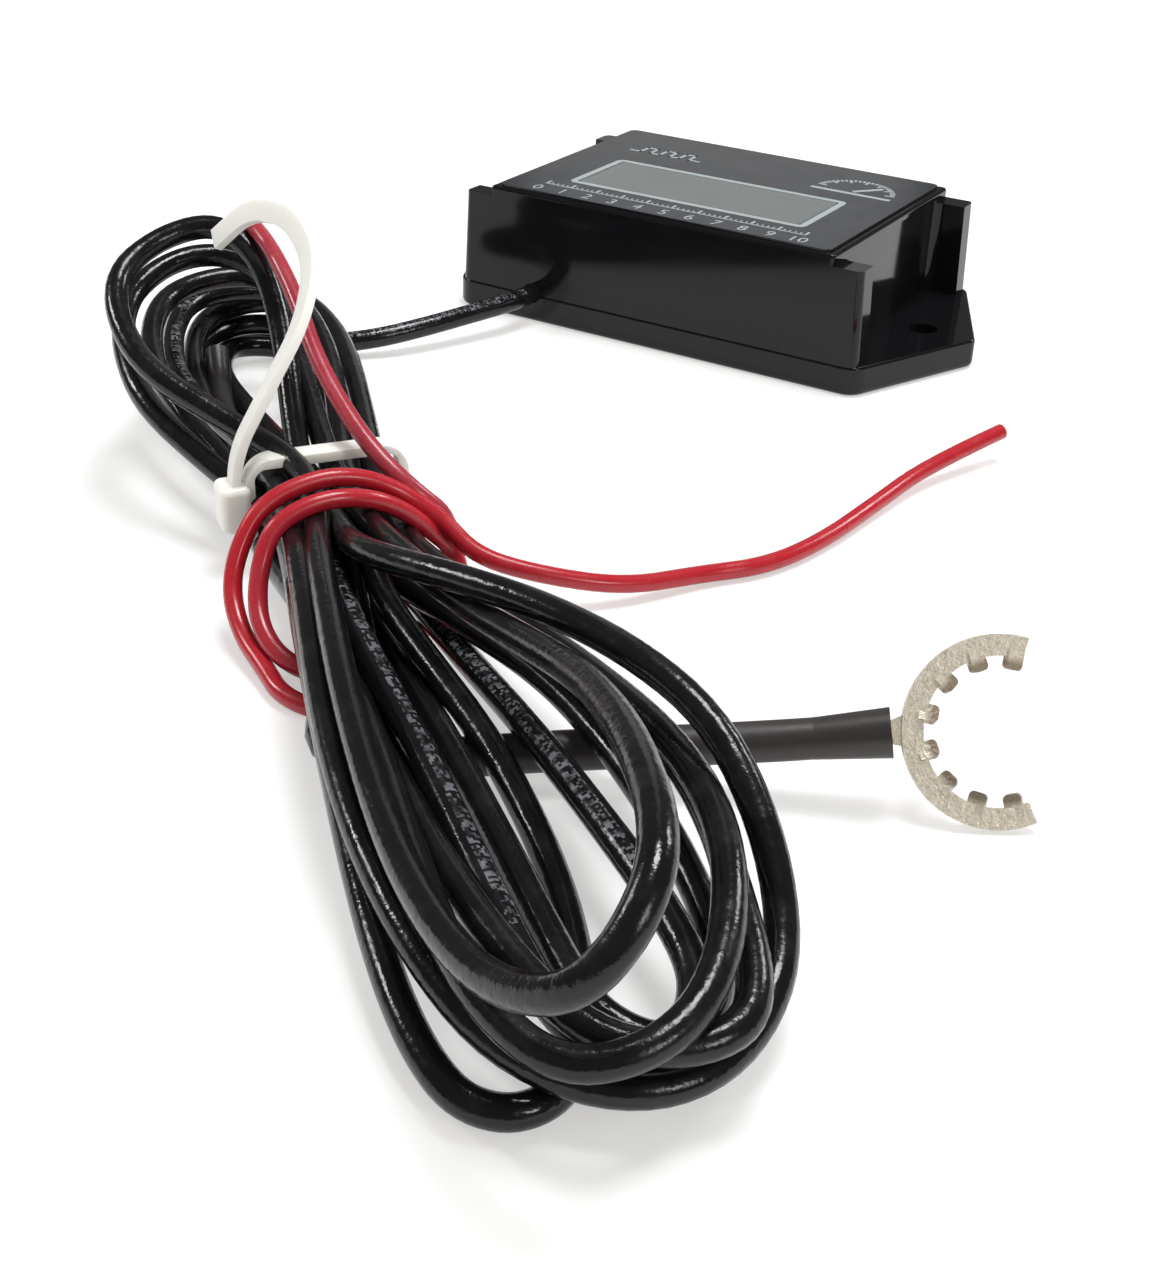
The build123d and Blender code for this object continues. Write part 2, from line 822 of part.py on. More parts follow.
def make_tie():
    """Cable tie: a band round the waist, its head at the side, and a long free tail."""
    band_low = waist_low - tie_clearance
    band_height = waist_high + tie_clearance - band_low
    band_width = 2 * (waist_half_width + tie_clearance)
    grow = 2 * tie_thickness
    middle = Pos(0, band_low + band_height / 2)
    band = middle * RectangleRounded(band_width + grow, band_height + grow, tie_corner_radius)
    band -= middle * RectangleRounded(band_width, band_height, hank_round)
    tie = extrude(hank_plane(-tie_width / 2) * band, amount=tie_width)
    head_across = -(band_width + grow) / 2 - tie_head_depth / 2 + tie_thickness / 2
    head_z = tie_tail_route[0][2] + tie_head_height / 4
    head = Box(tie_head_depth, tie_head_height, tie_head_length)
    head = fillet(head.edges(), tie_head_corner_radius)
    tie += hank_plane(0) * Pos(head_across, head_z, 0) * head
    return tie + tie_tail()


def tie_tail():
    """Flat strap swept up from the head and curling over."""
    path = FilletPolyline(*tie_tail_route, radius=bend_radii(tie_tail_route))
    start = Plane(origin=path @ 0, x_dir=(*hank_along, 0), z_dir=path % 0)
    return sweep(start * Rectangle(tie_width, tie_tail_thickness), path)


def make_sleeve():
    """Shrunk sleeve of the ground lead, flared over the terminal's barrel."""
    sleeve = cord_tube("ground sleeve", sleeve_route, sleeve_radius)
    end = Vector(*sleeve_route[-1])
    back = (Vector(*sleeve_route[-2]) - end).normalized()
    flare = Plane(origin=end + back * sleeve_flare_length, z_dir=-back)
    mouth = Plane(origin=end, z_dir=-back)
    sleeve += loft([flare * Circle(sleeve_radius), mouth * Circle(sleeve_flare_radius)])
    bore = Plane(origin=end, z_dir=back) * Circle(barrel_radius + barrel_clearance)
    return sleeve - extrude(bore, amount=barrel_length + barrel_clearance)


def ring_plane():
    """Plane of the terminal's ring: X away from the sleeve, leaning back, resting on the floor."""
    lean = math.radians(ring_lean)
    rise = ring_outer_radius * math.cos(lean) + ring_thickness / 2 * math.sin(lean) + ring_floor_gap
    normal = (
        ring_heading[1] * math.cos(lean),
        -ring_heading[0] * math.cos(lean),
        math.sin(lean),
    )
    return Plane(origin=(ring_centre_x, ring_centre_y, rise), x_dir=(*ring_heading, 0), z_dir=normal)


def ring_tooth(angle):
    """One inward tooth, with rounded corners, twisted about its own radial line."""
    root = ring_root_radius + (ring_outer_radius - ring_root_radius) / 3
    length = root - tooth_tip_radius
    outline = Rectangle(length, tooth_width)
    tip = sorted(outline.vertices(), key=lambda corner: corner.X)[:2]
    outline = fillet(tip, tooth_corner_radius)
    blade = extrude(outline, amount=ring_thickness / 2, both=True)
    return Rot(0, 0, angle) * Pos(root - length / 2, 0, 0) * Rot(tooth_twist, 0, 0) * blade


def make_terminal():
    """Stamped terminal: an open toothed ring, a tab and a rolled barrel, all one sheet."""
    ring = Circle(ring_outer_radius) - Circle(ring_root_radius)
    reach = 2 * ring_outer_radius
    top_x, top_y = (reach * turn(math.radians(ring_open_top)) for turn in (math.cos, math.sin))
    bottom_x, bottom_y = (reach * turn(math.radians(ring_open_bottom)) for turn in (math.cos, math.sin))
    opening = [(0, 0), (top_x, top_y), (reach, top_y), (reach, bottom_y), (bottom_x, bottom_y)]
    wedge = make_face(Polyline(*opening, close=True))
    blank = extrude(ring - wedge, amount=ring_thickness / 2, both=True)
    for index in range(tooth_count):
        blank += ring_tooth(tooth_first_angle + index * tooth_pitch_angle)
    plane = ring_plane()
    terminal = plane * blank
    mouth = Vector(*sleeve_route[-1])
    back = (Vector(*sleeve_route[-2]) - mouth).normalized()
    edge = plane.from_local_coords(Vector(-ring_root_radius - ring_thickness, 0, 0))
    tab_run = mouth - edge
    tab_face = Plane(origin=edge, x_dir=plane.y_dir, z_dir=tab_run.normalized())
    tab_end = Plane(origin=edge + tab_run, x_dir=plane.y_dir, z_dir=tab_run.normalized())
    narrow = 2 * barrel_radius * math.cos(math.radians(45))
    wide_end = tab_face * Rectangle(tab_ring_width, ring_thickness)
    narrow_end = tab_end * Rectangle(narrow, ring_thickness)
    terminal += loft([wide_end, narrow_end])
    barrel = Plane(origin=mouth, z_dir=back) * Circle(barrel_radius)
    return terminal + extrude(barrel, amount=barrel_length)


def main():
    """Builds and writes every sub-part."""
    save(make_cover(), "cover")
    save(make_base(), "base_plate")
    save(make_gasket(), "seal_gasket")
    save(make_screws(), "closure_screws")
    save(make_label(), "face_label")
    save(make_lens(), "window_lens")
    save(make_glass(), "lcd_glass")
    save(make_reflector(), "lcd_reflector")
    save(zebra_block(-1, 0.0), "contact_strip_front")
    save(zebra_block(1, 0.0), "contact_strip_back")
    save(make_holder(), "display_holder")
    save(make_board(), "circuit_board")
    save(make_chip(), "controller_chip")
    save(make_crystal(), "quartz_crystal")
    save(make_capacitor(), "input_capacitor")
    save(make_diode(), "clamp_diode")
    save(make_resistors(), "chip_resistors")
    save(make_battery(), "battery_cell")
    save(make_positive_tab(), "battery_tab_positive")
    save(make_negative_tab(), "battery_tab_negative")
    save(make_retainer(), "cable_retainer")
    save(make_inner_lead(), "coax_inner_lead")
    save(make_core(), "core_pigtail")
    save(make_braid(), "braid_pigtail")

    hank = make_hank()
    save(hank, "coax_hank")
    save(cord_tube("coax lead-in", lead_route, cable_radius) - hank, "coax_lead_in")
    splice = cord_tube("splice sleeve", splice_route, splice_radius) - hank
    save(splice, "splice_sleeve")
    wraps = closed_tube("red wraps", red_wrap_route, wrap_radius)
    save(wraps, "red_wire_wraps")
    save(cord_tube("red wire upper", red_upper_route, wire_radius) - splice - wraps, "red_wire_upper")
    save(cord_tube("red wire tail", red_tail_route, wire_radius) - wraps, "red_wire_tail")
    save(make_tie(), "cable_tie")
    save(make_sleeve(), "ground_sleeve")
    save(make_terminal(), "ground_terminal")


main()
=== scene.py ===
"""Finishes, cords, label print and studio of the small engine tachometer.

Lengths are in millimetres until they are handed to a mesh or a curve, which are in metres.
"""

import logging
import math
from dataclasses import dataclass
from enum import Enum

import bmesh
import bpy
from mathutils import Matrix, Vector

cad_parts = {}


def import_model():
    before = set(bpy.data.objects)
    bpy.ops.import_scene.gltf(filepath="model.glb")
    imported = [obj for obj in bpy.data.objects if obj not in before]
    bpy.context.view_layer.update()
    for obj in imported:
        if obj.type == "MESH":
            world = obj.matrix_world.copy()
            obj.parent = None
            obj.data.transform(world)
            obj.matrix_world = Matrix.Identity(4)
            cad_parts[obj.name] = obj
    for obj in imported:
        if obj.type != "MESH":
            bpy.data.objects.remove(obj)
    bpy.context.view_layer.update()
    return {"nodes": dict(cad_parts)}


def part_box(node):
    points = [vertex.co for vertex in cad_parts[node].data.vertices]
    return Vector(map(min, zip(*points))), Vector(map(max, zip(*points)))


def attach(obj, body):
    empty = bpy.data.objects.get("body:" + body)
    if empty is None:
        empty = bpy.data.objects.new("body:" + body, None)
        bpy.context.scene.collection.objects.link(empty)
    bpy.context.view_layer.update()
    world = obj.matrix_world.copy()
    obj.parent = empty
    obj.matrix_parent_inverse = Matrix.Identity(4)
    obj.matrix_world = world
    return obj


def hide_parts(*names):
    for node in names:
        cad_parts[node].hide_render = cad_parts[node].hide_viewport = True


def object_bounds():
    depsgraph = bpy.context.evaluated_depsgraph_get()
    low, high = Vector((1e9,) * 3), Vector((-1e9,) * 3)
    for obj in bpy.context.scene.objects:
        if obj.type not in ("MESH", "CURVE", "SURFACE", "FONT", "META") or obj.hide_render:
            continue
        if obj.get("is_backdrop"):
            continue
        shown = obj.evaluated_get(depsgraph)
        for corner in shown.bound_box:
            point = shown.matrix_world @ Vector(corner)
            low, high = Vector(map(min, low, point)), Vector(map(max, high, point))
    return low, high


log = logging.getLogger("tachometer")

MM = 0.001
ROOT = "root"

Point = tuple[float, float, float]
Colour = tuple[float, float, float]


class Slot(str, Enum):
    """Material slots of the record. This script does not read them."""

    LABEL = "face_label"
    HANK = "coax_hank"
    RED_TAIL = "red_wire_tail"


class LampAxis(Enum):
    """Local axes of a lamp."""

    AIM = "-Z"
    UP = "Y"


def put_in_scene(name: str, data: bpy.types.ID) -> bpy.types.Object:
    """Makes an object of a mesh, curve, light or camera and links it to the scene.

    Args:
        name: Name of the object.
        data: What it holds.

    Returns:
        The object.
    """
    piece = bpy.data.objects.new(name, data)
    bpy.context.scene.collection.objects.link(piece)
    return piece


def mesh_of(name: str, shape: bmesh.types.BMesh) -> bpy.types.Mesh:
    """Turns a bmesh into a mesh and frees it.

    Args:
        name: Name of the mesh.
        shape: The bmesh, in metres.

    Returns:
        The mesh.
    """
    mesh = bpy.data.meshes.new(name)
    shape.to_mesh(mesh)
    shape.free()
    return mesh


# Finishes


class Board:
    """A material's node tree, with short ways to add and join its nodes."""

    def __init__(self, name: str) -> None:
        """Makes the material and finds its surface shader.

        Args:
            name: Name of the material.
        """
        self.material = bpy.data.materials.new(name)
        self.material.use_nodes = True
        self.tree = self.material.node_tree
        self.surface = self.tree.nodes["Principled BSDF"]

    def add(self, kind: str, **values: object) -> bpy.types.Node:
        """Adds a node and sets its properties.

        Args:
            kind: Blender's name of the node type.
            values: Properties of the node by name.

        Returns:
            The new node.
        """
        node = self.tree.nodes.new(kind)
        for name, value in values.items():
            setattr(node, name, value)
        return node

    def join(self, source: bpy.types.NodeSocket, target: bpy.types.NodeSocket) -> None:
        """Links one socket to another."""
        self.tree.links.new(source, target)

    def places(self, metres_across: float = 1.0) -> bpy.types.NodeSocket:
        """Object coordinates, scaled so that one unit is the given length.

        Args:
            metres_across: Length that counts as one unit.

        Returns:
            The vector socket.
        """
        where = self.add("ShaderNodeTexCoord")
        scale = self.add("ShaderNodeVectorMath", operation="SCALE")
        scale.inputs["Scale"].default_value = 1.0 / metres_across
        self.join(where.outputs["Object"], scale.inputs[0])
        return scale.outputs[0]

    def unrolled(self) -> tuple[bpy.types.NodeSocket, bpy.types.NodeSocket]:
        """Shares of a cord's length and of its girth, from its own UV map.

        Returns:
            The two sockets, each from 0 to 1.
        """
        place = self.add("ShaderNodeUVMap")
        apart = self.add("ShaderNodeSeparateXYZ")
        self.join(place.outputs["UV"], apart.inputs[0])
        return apart.outputs["X"], apart.outputs["Y"]

    def noise(self, grain: float, detail: float = 3.0, roughness: float = 0.5) -> bpy.types.NodeSocket:
        """Noise with features of about the given size.

        Args:
            grain: Size of a feature in metres.
            detail: Octaves of the noise.
            roughness: Weight of the finer octaves.

        Returns:
            The factor socket.
        """
        node = self.add("ShaderNodeTexNoise")
        node.inputs["Scale"].default_value = 1.0
        node.inputs["Detail"].default_value = detail
        node.inputs["Roughness"].default_value = roughness
        self.join(self.places(grain), node.inputs["Vector"])
        return node.outputs["Fac"]

    def sum(
        self,
        operation: str,
        first: bpy.types.NodeSocket | float,
        second: bpy.types.NodeSocket | float = 0.0,
        third: bpy.types.NodeSocket | float = 0.0,
    ) -> bpy.types.NodeSocket:
        """Arithmetic on up to three values.

        Args:
            operation: Blender's name of the operation.
            first: A socket or a number.
            second: A socket or a number.
            third: A socket or a number.

        Returns:
            The result's socket.
        """
        node = self.add("ShaderNodeMath", operation=operation)
        for socket, value in zip(node.inputs, (first, second, third)):
            if isinstance(value, bpy.types.NodeSocket):
                self.join(value, socket)
            else:
                socket.default_value = value
        return node.outputs[0]

    def spread(
        self, value: bpy.types.NodeSocket, low: float, high: float, start: float = 0.0, end: float = 1.0
    ) -> bpy.types.NodeSocket:
        """Maps a value from start..end to low..high.

        Args:
            value: The socket that is mapped.
            low: Result at start.
            high: Result at end.
            start: Lowest value that is read.
            end: Highest value that is read.

        Returns:
            The mapped socket.
        """
        node = self.add("ShaderNodeMapRange")
        for name, number in zip(("From Min", "From Max", "To Min", "To Max"), (start, end, low, high)):
            node.inputs[name].default_value = number
        self.join(value, node.inputs["Value"])
        return node.outputs["Result"]

    def blend(
        self, share: bpy.types.NodeSocket, first: Colour | bpy.types.NodeSocket, second: Colour
    ) -> bpy.types.NodeSocket:
        """Mixes two colours by a share.

        Args:
            share: Socket from 0 to 1.
            first: Colour at 0, or the socket that gives it.
            second: Colour at 1.

        Returns:
            The colour socket.
        """
        node = self.add("ShaderNodeMix", data_type="RGBA")
        colours = [socket for socket in node.inputs if socket.type == "RGBA"]
        colours[1].default_value = (*second, 1.0)
        if isinstance(first, bpy.types.NodeSocket):
            self.join(first, colours[0])
        else:
            colours[0].default_value = (*first, 1.0)
        self.join(share, node.inputs["Factor"])
        return [socket for socket in node.outputs if socket.type == "RGBA"][0]

    def paint(self, socket: bpy.types.NodeSocket) -> None:
        """Joins a colour to the surface."""
        self.join(socket, self.surface.inputs["Base Color"])

    def relief(self, height: bpy.types.NodeSocket, depth: float) -> None:
        """Raises the surface's shading by a height field.

        Args:
            height: Socket from 0 to 1.
            depth: Height in metres that 1 stands for.
        """
        bump = self.add("ShaderNodeBump")
        bump.inputs["Strength"].default_value = 1.0
        bump.inputs["Distance"].default_value = depth
        self.join(height, bump.inputs["Height"])
        self.join(bump.outputs["Normal"], self.surface.inputs["Normal"])


@dataclass(frozen=True)
class Moulding:
    """Finish of a moulded or pressed part with a fine grain.

    Attributes:
        colour: Base colour.
        roughness: Mean roughness.
        uneven: Half range of the roughness over the part.
        tone: Share by which the colour varies.
        grain: Size of the grain in metres.
        depth: Depth of the grain in metres.
        metal: True for bare metal.
        see_through: Share of light that passes, for thin clear parts.
        glow: Weight of scattering inside the material.
        glow_tint: Reach of the scattering in red, green and blue.
        glow_reach: Length of the scattering in metres.
        cloud_grains: Size of the patches of tone and roughness, in grains.
        shine: Strength of the surface's gloss.
    """

    colour: Colour
    roughness: float = 0.4
    uneven: float = 0.05
    tone: float = 0.06
    grain: float = 0.0006
    depth: float = 0.000004
    metal: bool = False
    see_through: float = 0.0
    glow: float = 0.0
    glow_tint: Colour = (1.0, 0.9, 0.8)
    glow_reach: float = 0.0015
    cloud_grains: float = 14.0
    shine: float = 0.5

    def make(self, name: str) -> bpy.types.Material:
        """Builds the material.

        Args:
            name: Name of the material.

        Returns:
            The material.
        """
        board = Board(name)
        surface = board.surface
        surface.inputs["Metallic"].default_value = 1.0 if self.metal else 0.0
        surface.inputs["Alpha"].default_value = 1.0 - self.see_through
        surface.inputs["Specular IOR Level"].default_value = self.shine
        if self.glow:
            surface.inputs["Subsurface Weight"].default_value = self.glow
            surface.inputs["Subsurface Radius"].default_value = self.glow_tint
            surface.inputs["Subsurface Scale"].default_value = self.glow_reach
        cloud = board.noise(self.grain * self.cloud_grains, detail=2.0)
        dark = tuple(c * (1 - self.tone) for c in self.colour)
        light = tuple(min(1.0, c * (1 + self.tone)) for c in self.colour)
        board.paint(board.blend(cloud, dark, light))
        board.join(
            board.spread(cloud, self.roughness - self.uneven, self.roughness + self.uneven, 0.3, 0.7),
            surface.inputs["Roughness"],
        )
        board.relief(board.noise(self.grain), self.depth)
        return board.material


@dataclass(frozen=True)
class TinPlate:
    """Dull tin plating of the terminal, speckled with fine darker pits, with painted shade on its teeth.

    Attributes:
        bright: Colour of the plating.
        pit: Colour of the specks.
        tooth: Painted shade of the teeth within the ring, given as their colour.
        ring_centre: Centre of the ring in metres.
        ring_inner: Inner radius of the ring in metres.
        tooth_fade: Width over which the ring's colour turns to the teeth's painted shade, in metres.
        roughness: Mean roughness.
        metal: Share of bare metal.
        speck: Size of a speck in metres.
        dent: Size of a dent in metres.
        depth: Depth of specks and dents in metres.
    """

    bright: Colour = (0.70, 0.635, 0.52)
    pit: Colour = (0.48, 0.415, 0.32)
    tooth: Colour = (0.27, 0.215, 0.155)
    ring_centre: Point = (0.0824, -0.1033, 0.0078)
    ring_inner: float = 0.0068
    tooth_fade: float = 0.0006
    roughness: float = 0.34
    metal: float = 0.45
    speck: float = 0.0004
    dent: float = 0.0011
    depth: float = 0.00009

    def make(self, name: str) -> bpy.types.Material:
        """Builds the material.

        Args:
            name: Name of the material.

        Returns:
            The material.
        """
        board = Board(name)
        board.surface.inputs["Metallic"].default_value = self.metal
        speck = board.noise(self.speck, detail=4.0, roughness=0.7)
        share = board.spread(speck, 0.0, 1.0, 0.52, 0.66)
        plating = board.blend(share, self.bright, self.pit)
        # Painted shade: within the ring's inner radius the teeth take a darker colour.
        radius = board.add("ShaderNodeVectorMath", operation="DISTANCE")
        radius.inputs[1].default_value = self.ring_centre
        board.join(board.places(), radius.inputs[0])
        inner = self.ring_inner
        tooth_shade_share = board.spread(radius.outputs["Value"], 0.0, 1.0, inner, inner - self.tooth_fade)
        board.paint(board.blend(tooth_shade_share, plating, self.tooth))
        board.join(
            board.spread(speck, self.roughness - 0.08, self.roughness + 0.15, 0.4, 0.6),
            board.surface.inputs["Roughness"],
        )
        dents = board.noise(self.dent, detail=3.0, roughness=0.6)
        board.relief(board.sum("ADD", speck, board.sum("MULTIPLY", dents, 2.0)), self.depth)
        return board.material


@dataclass(frozen=True)
class Jacket:
    """Cable jacket over a braid, with a row of plain printed marks on some stretches.

    The finish follows the cable's own length and girth.

    Attributes:
        colour: Base colour.
        worn: Colour where the jacket is scuffed.
        ink: Colour of the printed marks.
        roughness: Mean roughness.
        length: Length of the cable in metres.
        ripple: Distance between the braid's ripples in metres.
        depth: Height of a ripple in metres.
        printed: Stretches with marks, as pairs of shares of the length.
        girth: Middle of the printed row, as a share of the girth.
        mark: Length of one mark in metres.
        mark_rows: Marks beside each other in the row.
        mark_reach: Half height of the row, as a share of the girth.
        mark_bare: Share of the marks' places that stay bare.
        group: Marks' places in a group along the cable, its gap with them.
        group_filled: Share of a group before its gap.
        shine: Strength of the surface's gloss.
        scuff: Size of a scuffed patch in metres.
        crinkle: Size of the fine crinkles in metres.
    """

    colour: Colour
    worn: Colour
    roughness: float
    length: float
    ripple: float = 0.0021
    depth: float = 0.000022
    ink: Colour = (0.15, 0.16, 0.175)
    printed: tuple[tuple[float, float], ...] = ()
    girth: float = 0.5
    mark: float = 0.00028
    mark_rows: int = 5
    mark_reach: float = 0.08
    mark_bare: float = 0.42
    group: float = 5.0
    group_filled: float = 0.8
    shine: float = 0.4
    scuff: float = 0.004
    crinkle: float = 0.0013

    def make(self, name: str) -> bpy.types.Material:
        """Builds the material.

        Args:
            name: Name of the material.

        Returns:
            The material.
        """
        board = Board(name)
        surface = board.surface
        surface.inputs["Specular IOR Level"].default_value = self.shine
        along, around = board.unrolled()
        scuff = board.noise(self.scuff, detail=5.0, roughness=0.65)
        share = board.spread(scuff, 0.0, 1.0, 0.5, 0.75)
        base = board.blend(share, self.colour, self.worn)
        if self.printed:
            base = board.blend(self.marks(board, along, around), base, self.ink)
        board.paint(base)
        dullness = board.spread(scuff, self.roughness - 0.05, self.roughness + 0.12, 0.35, 0.7)
        board.join(dullness, surface.inputs["Roughness"])
        turns = board.sum("MULTIPLY", along, self.length / self.ripple)
        lean = board.sum("ADD", turns, board.sum("MULTIPLY", around, 2.0))
        wave = board.sum("SINE", board.sum("MULTIPLY", lean, math.tau))
        uneven = board.sum("MULTIPLY", wave, board.spread(board.noise(0.006, detail=2.0), 0.0, 0.3, 0.4, 0.7))
        crinkle = board.sum("MULTIPLY", board.noise(self.crinkle, detail=3.0, roughness=0.6), 3.6)
        board.relief(board.sum("ADD", board.sum("MULTIPLY", uneven, 0.5), crinkle), self.depth)
        return board.material

    def marks(
        self, board: Board, along: bpy.types.NodeSocket, around: bpy.types.NodeSocket
    ) -> bpy.types.NodeSocket:
        """Share of ink: a row of small plain marks in groups, on opposite sides of the cable.

        Args:
            board: The material's nodes.
            along: Share of the cable's length.
            around: Share of its girth.

        Returns:
            Socket from 0, bare, to 1, ink.
        """
        twice = board.sum("MULTIPLY_ADD", around, 2.0, 0.5 - 2.0 * self.girth)
        off = board.sum("MULTIPLY", board.sum("SUBTRACT", board.sum("FRACT", twice), 0.5), 0.5)
        column = board.sum("MULTIPLY", along, self.length / self.mark)
        row = board.sum("MULTIPLY", off, self.mark_rows / (2 * self.mark_reach))
        cell = board.add("ShaderNodeCombineXYZ")
        board.join(board.sum("FLOOR", column), cell.inputs[0])
        board.join(board.sum("FLOOR", row), cell.inputs[1])
        chance = board.add("ShaderNodeTexWhiteNoise", noise_dimensions="2D")
        board.join(cell.outputs[0], chance.inputs["Vector"])
        ink = board.sum("GREATER_THAN", chance.outputs["Value"], self.mark_bare)
        in_row = board.sum("LESS_THAN", board.sum("ABSOLUTE", off), self.mark_reach)
        group = board.sum("FRACT", board.sum("DIVIDE", column, self.group))
        in_group = board.sum("LESS_THAN", group, self.group_filled)
        zone: bpy.types.NodeSocket | float = 0.0
        for start, end in self.printed:
            after = board.sum("GREATER_THAN", along, start)
            before = board.sum("LESS_THAN", along, end)
            zone = board.sum("MAXIMUM", board.sum("MULTIPLY", after, before), zone)
        worn = board.spread(board.noise(0.0012, detail=2.0), 0.0, 1.0, 0.35, 0.6)
        ink = board.sum("MULTIPLY", board.sum("MULTIPLY", in_row, in_group), board.sum("MULTIPLY", ink, zone))
        return board.sum("MULTIPLY", ink, worn)


@dataclass(frozen=True)
class TwoTonePvc:
    """Glossy wire insulation whose red runs from a duller to a brighter stretch along the wire.

    Attributes:
        first: Colour at the start of the wire.
        last: Colour from the change on.
        change: Shares of the length between which the colour changes.
        roughness: Mean roughness.
    """

    first: Colour
    last: Colour
    change: tuple[float, float]
    roughness: float = 0.24

    def make(self, name: str) -> bpy.types.Material:
        """Builds the material.

        Args:
            name: Name of the material.

        Returns:
            The material.
        """
        board = Board(name)
        along, _ = board.unrolled()
        board.paint(board.blend(board.spread(along, 0.0, 1.0, *self.change), self.first, self.last))
        scuff = board.noise(0.003, detail=4.0)
        board.join(
            board.spread(scuff, self.roughness - 0.05, self.roughness + 0.1, 0.35, 0.7),
            board.surface.inputs["Roughness"],
        )
        board.relief(board.noise(0.0015, detail=3.0), 0.00002)
        return board.material


BLACK_GLOSS = Moulding(
    (0.006, 0.006, 0.007), roughness=0.075, uneven=0.02, tone=0.1, grain=0.0012, depth=0.000001, shine=0.3
)
LABEL_FILM = Moulding((0.012, 0.014, 0.017), roughness=0.20, uneven=0.04, grain=0.0003, depth=0.000003)
WINDOW_CLEAR = Moulding((0.22, 0.245, 0.24), roughness=0.16, uneven=0.02, see_through=0.35)
CELL_GLASS = Moulding((0.30, 0.32, 0.31), roughness=0.3, uneven=0.03, grain=0.0015)
SHRINK_BLACK = Moulding((0.034, 0.030, 0.028), roughness=0.42, uneven=0.06, grain=0.0008, depth=0.00002)
NYLON = Moulding((0.88, 0.87, 0.82), roughness=0.34, tone=0.03, grain=0.0007, depth=0.000006, glow=0.55)
INK = Moulding((0.33, 0.37, 0.38), roughness=0.36, grain=0.0002)
COPPER = Moulding((0.72, 0.33, 0.18), roughness=0.32, metal=True, grain=0.0002, depth=0.00001)
NICKEL = Moulding((0.56, 0.54, 0.50), roughness=0.30, metal=True, grain=0.0004)
STEEL = Moulding((0.48, 0.48, 0.49), roughness=0.33, metal=True, grain=0.0003, depth=0.00001)
BRASS = Moulding((0.68, 0.50, 0.22), roughness=0.34, metal=True, grain=0.0003)
LAMINATE = Moulding((0.02, 0.13, 0.05), roughness=0.38, grain=0.0004, tone=0.15)
CHIP_BLACK = Moulding((0.02, 0.02, 0.021), roughness=0.55, grain=0.0002, depth=0.00001)
CERAMIC = Moulding((0.45, 0.30, 0.17), roughness=0.5, grain=0.0003)
GASKET_RUBBER = Moulding((0.03, 0.03, 0.032), roughness=0.7, grain=0.0004, depth=0.00001)
ELASTOMER = Moulding((0.42, 0.20, 0.22), roughness=0.6, grain=0.0002, tone=0.2)
WHITE_HOLDER = Moulding((0.62, 0.62, 0.58), roughness=0.45, grain=0.0006)
FOIL = Moulding((0.70, 0.71, 0.70), roughness=0.22, metal=True, grain=0.0005)
INNER_SLEEVE = Moulding((0.75, 0.73, 0.66), roughness=0.5, grain=0.0004)

NODE_FINISHES: dict[str, Moulding | TinPlate] = {
    "cover": BLACK_GLOSS,
    "base_plate": BLACK_GLOSS,
    "face_label": LABEL_FILM,
    "window_lens": WINDOW_CLEAR,
    "lcd_glass": CELL_GLASS,
    "lcd_reflector": FOIL,
    "contact_strip_front": ELASTOMER,
    "contact_strip_back": ELASTOMER,
    "display_holder": WHITE_HOLDER,
    "circuit_board": LAMINATE,
    "controller_chip": CHIP_BLACK,
    "quartz_crystal": STEEL,
    "input_capacitor": CERAMIC,
    "clamp_diode": CHIP_BLACK,
    "chip_resistors": CHIP_BLACK,
    "battery_cell": NICKEL,
    "battery_tab_positive": BRASS,
    "battery_tab_negative": BRASS,
    "cable_retainer": NICKEL,
    "coax_inner_lead": SHRINK_BLACK,
    "core_pigtail": INNER_SLEEVE,
    "braid_pigtail": COPPER,
    "seal_gasket": GASKET_RUBBER,
    "closure_screws": STEEL,
    "ground_sleeve": SHRINK_BLACK,
    "splice_sleeve": SHRINK_BLACK,
    "ground_terminal": TinPlate(),
    "cable_tie": NYLON,
}


def dress(nodes: dict[str, bpy.types.Object]) -> None:
    """Gives each CAD node its finish.

    Args:
        nodes: CAD nodes by name.
    """
    for name, finish in NODE_FINISHES.items():
        mesh = nodes[name].data
        mesh.materials.clear()
        mesh.materials.append(finish.make(name + "_finish"))
        log.info("%s takes its finish", name)


# Cords


@dataclass(frozen=True)
class HankFrame:
    """Frame of the tied hank, with its first axis along the loops.

    Attributes:
        tie: Where the tie stands, on the floor.
        along: Direction from the tie to the near loops' tips.
        across: Direction to the right of that.
    """

    tie: Point = (2.6, -97.8, 0.0)
    along: Point = (0.8, -0.6, 0.0)
    across: Point = (0.6, 0.8, 0.0)

    def place(self, point: Point) -> Point:
        """Turns a point of the hank's frame into one of the part's.

        Args:
            point: Distance along, across and up.

        Returns:
            The point in millimetres.
        """
        a, b, z = point
        spot = Vector(self.tie) + a * Vector(self.along) + b * Vector(self.across)
        return (spot.x, spot.y, spot.z + z)


HANK = HankFrame()


@dataclass(frozen=True)
class Turn:
    """One loose turn of the hank, from the left of its waist round both ends.

    Attributes:
        left: Where it passes the tie towards the near end.
        near: Guides round the near end, clockwise from above.
        right: Where it passes the tie towards the far end.
        far: Guides round the far end.
    """

    left: Point
    near: tuple[Point, ...]
    right: Point
    far: tuple[Point, ...]

    def guides(self) -> list[Point]:
        """The turn's guides in order."""
        return [self.left, *self.near, self.right, *self.far]


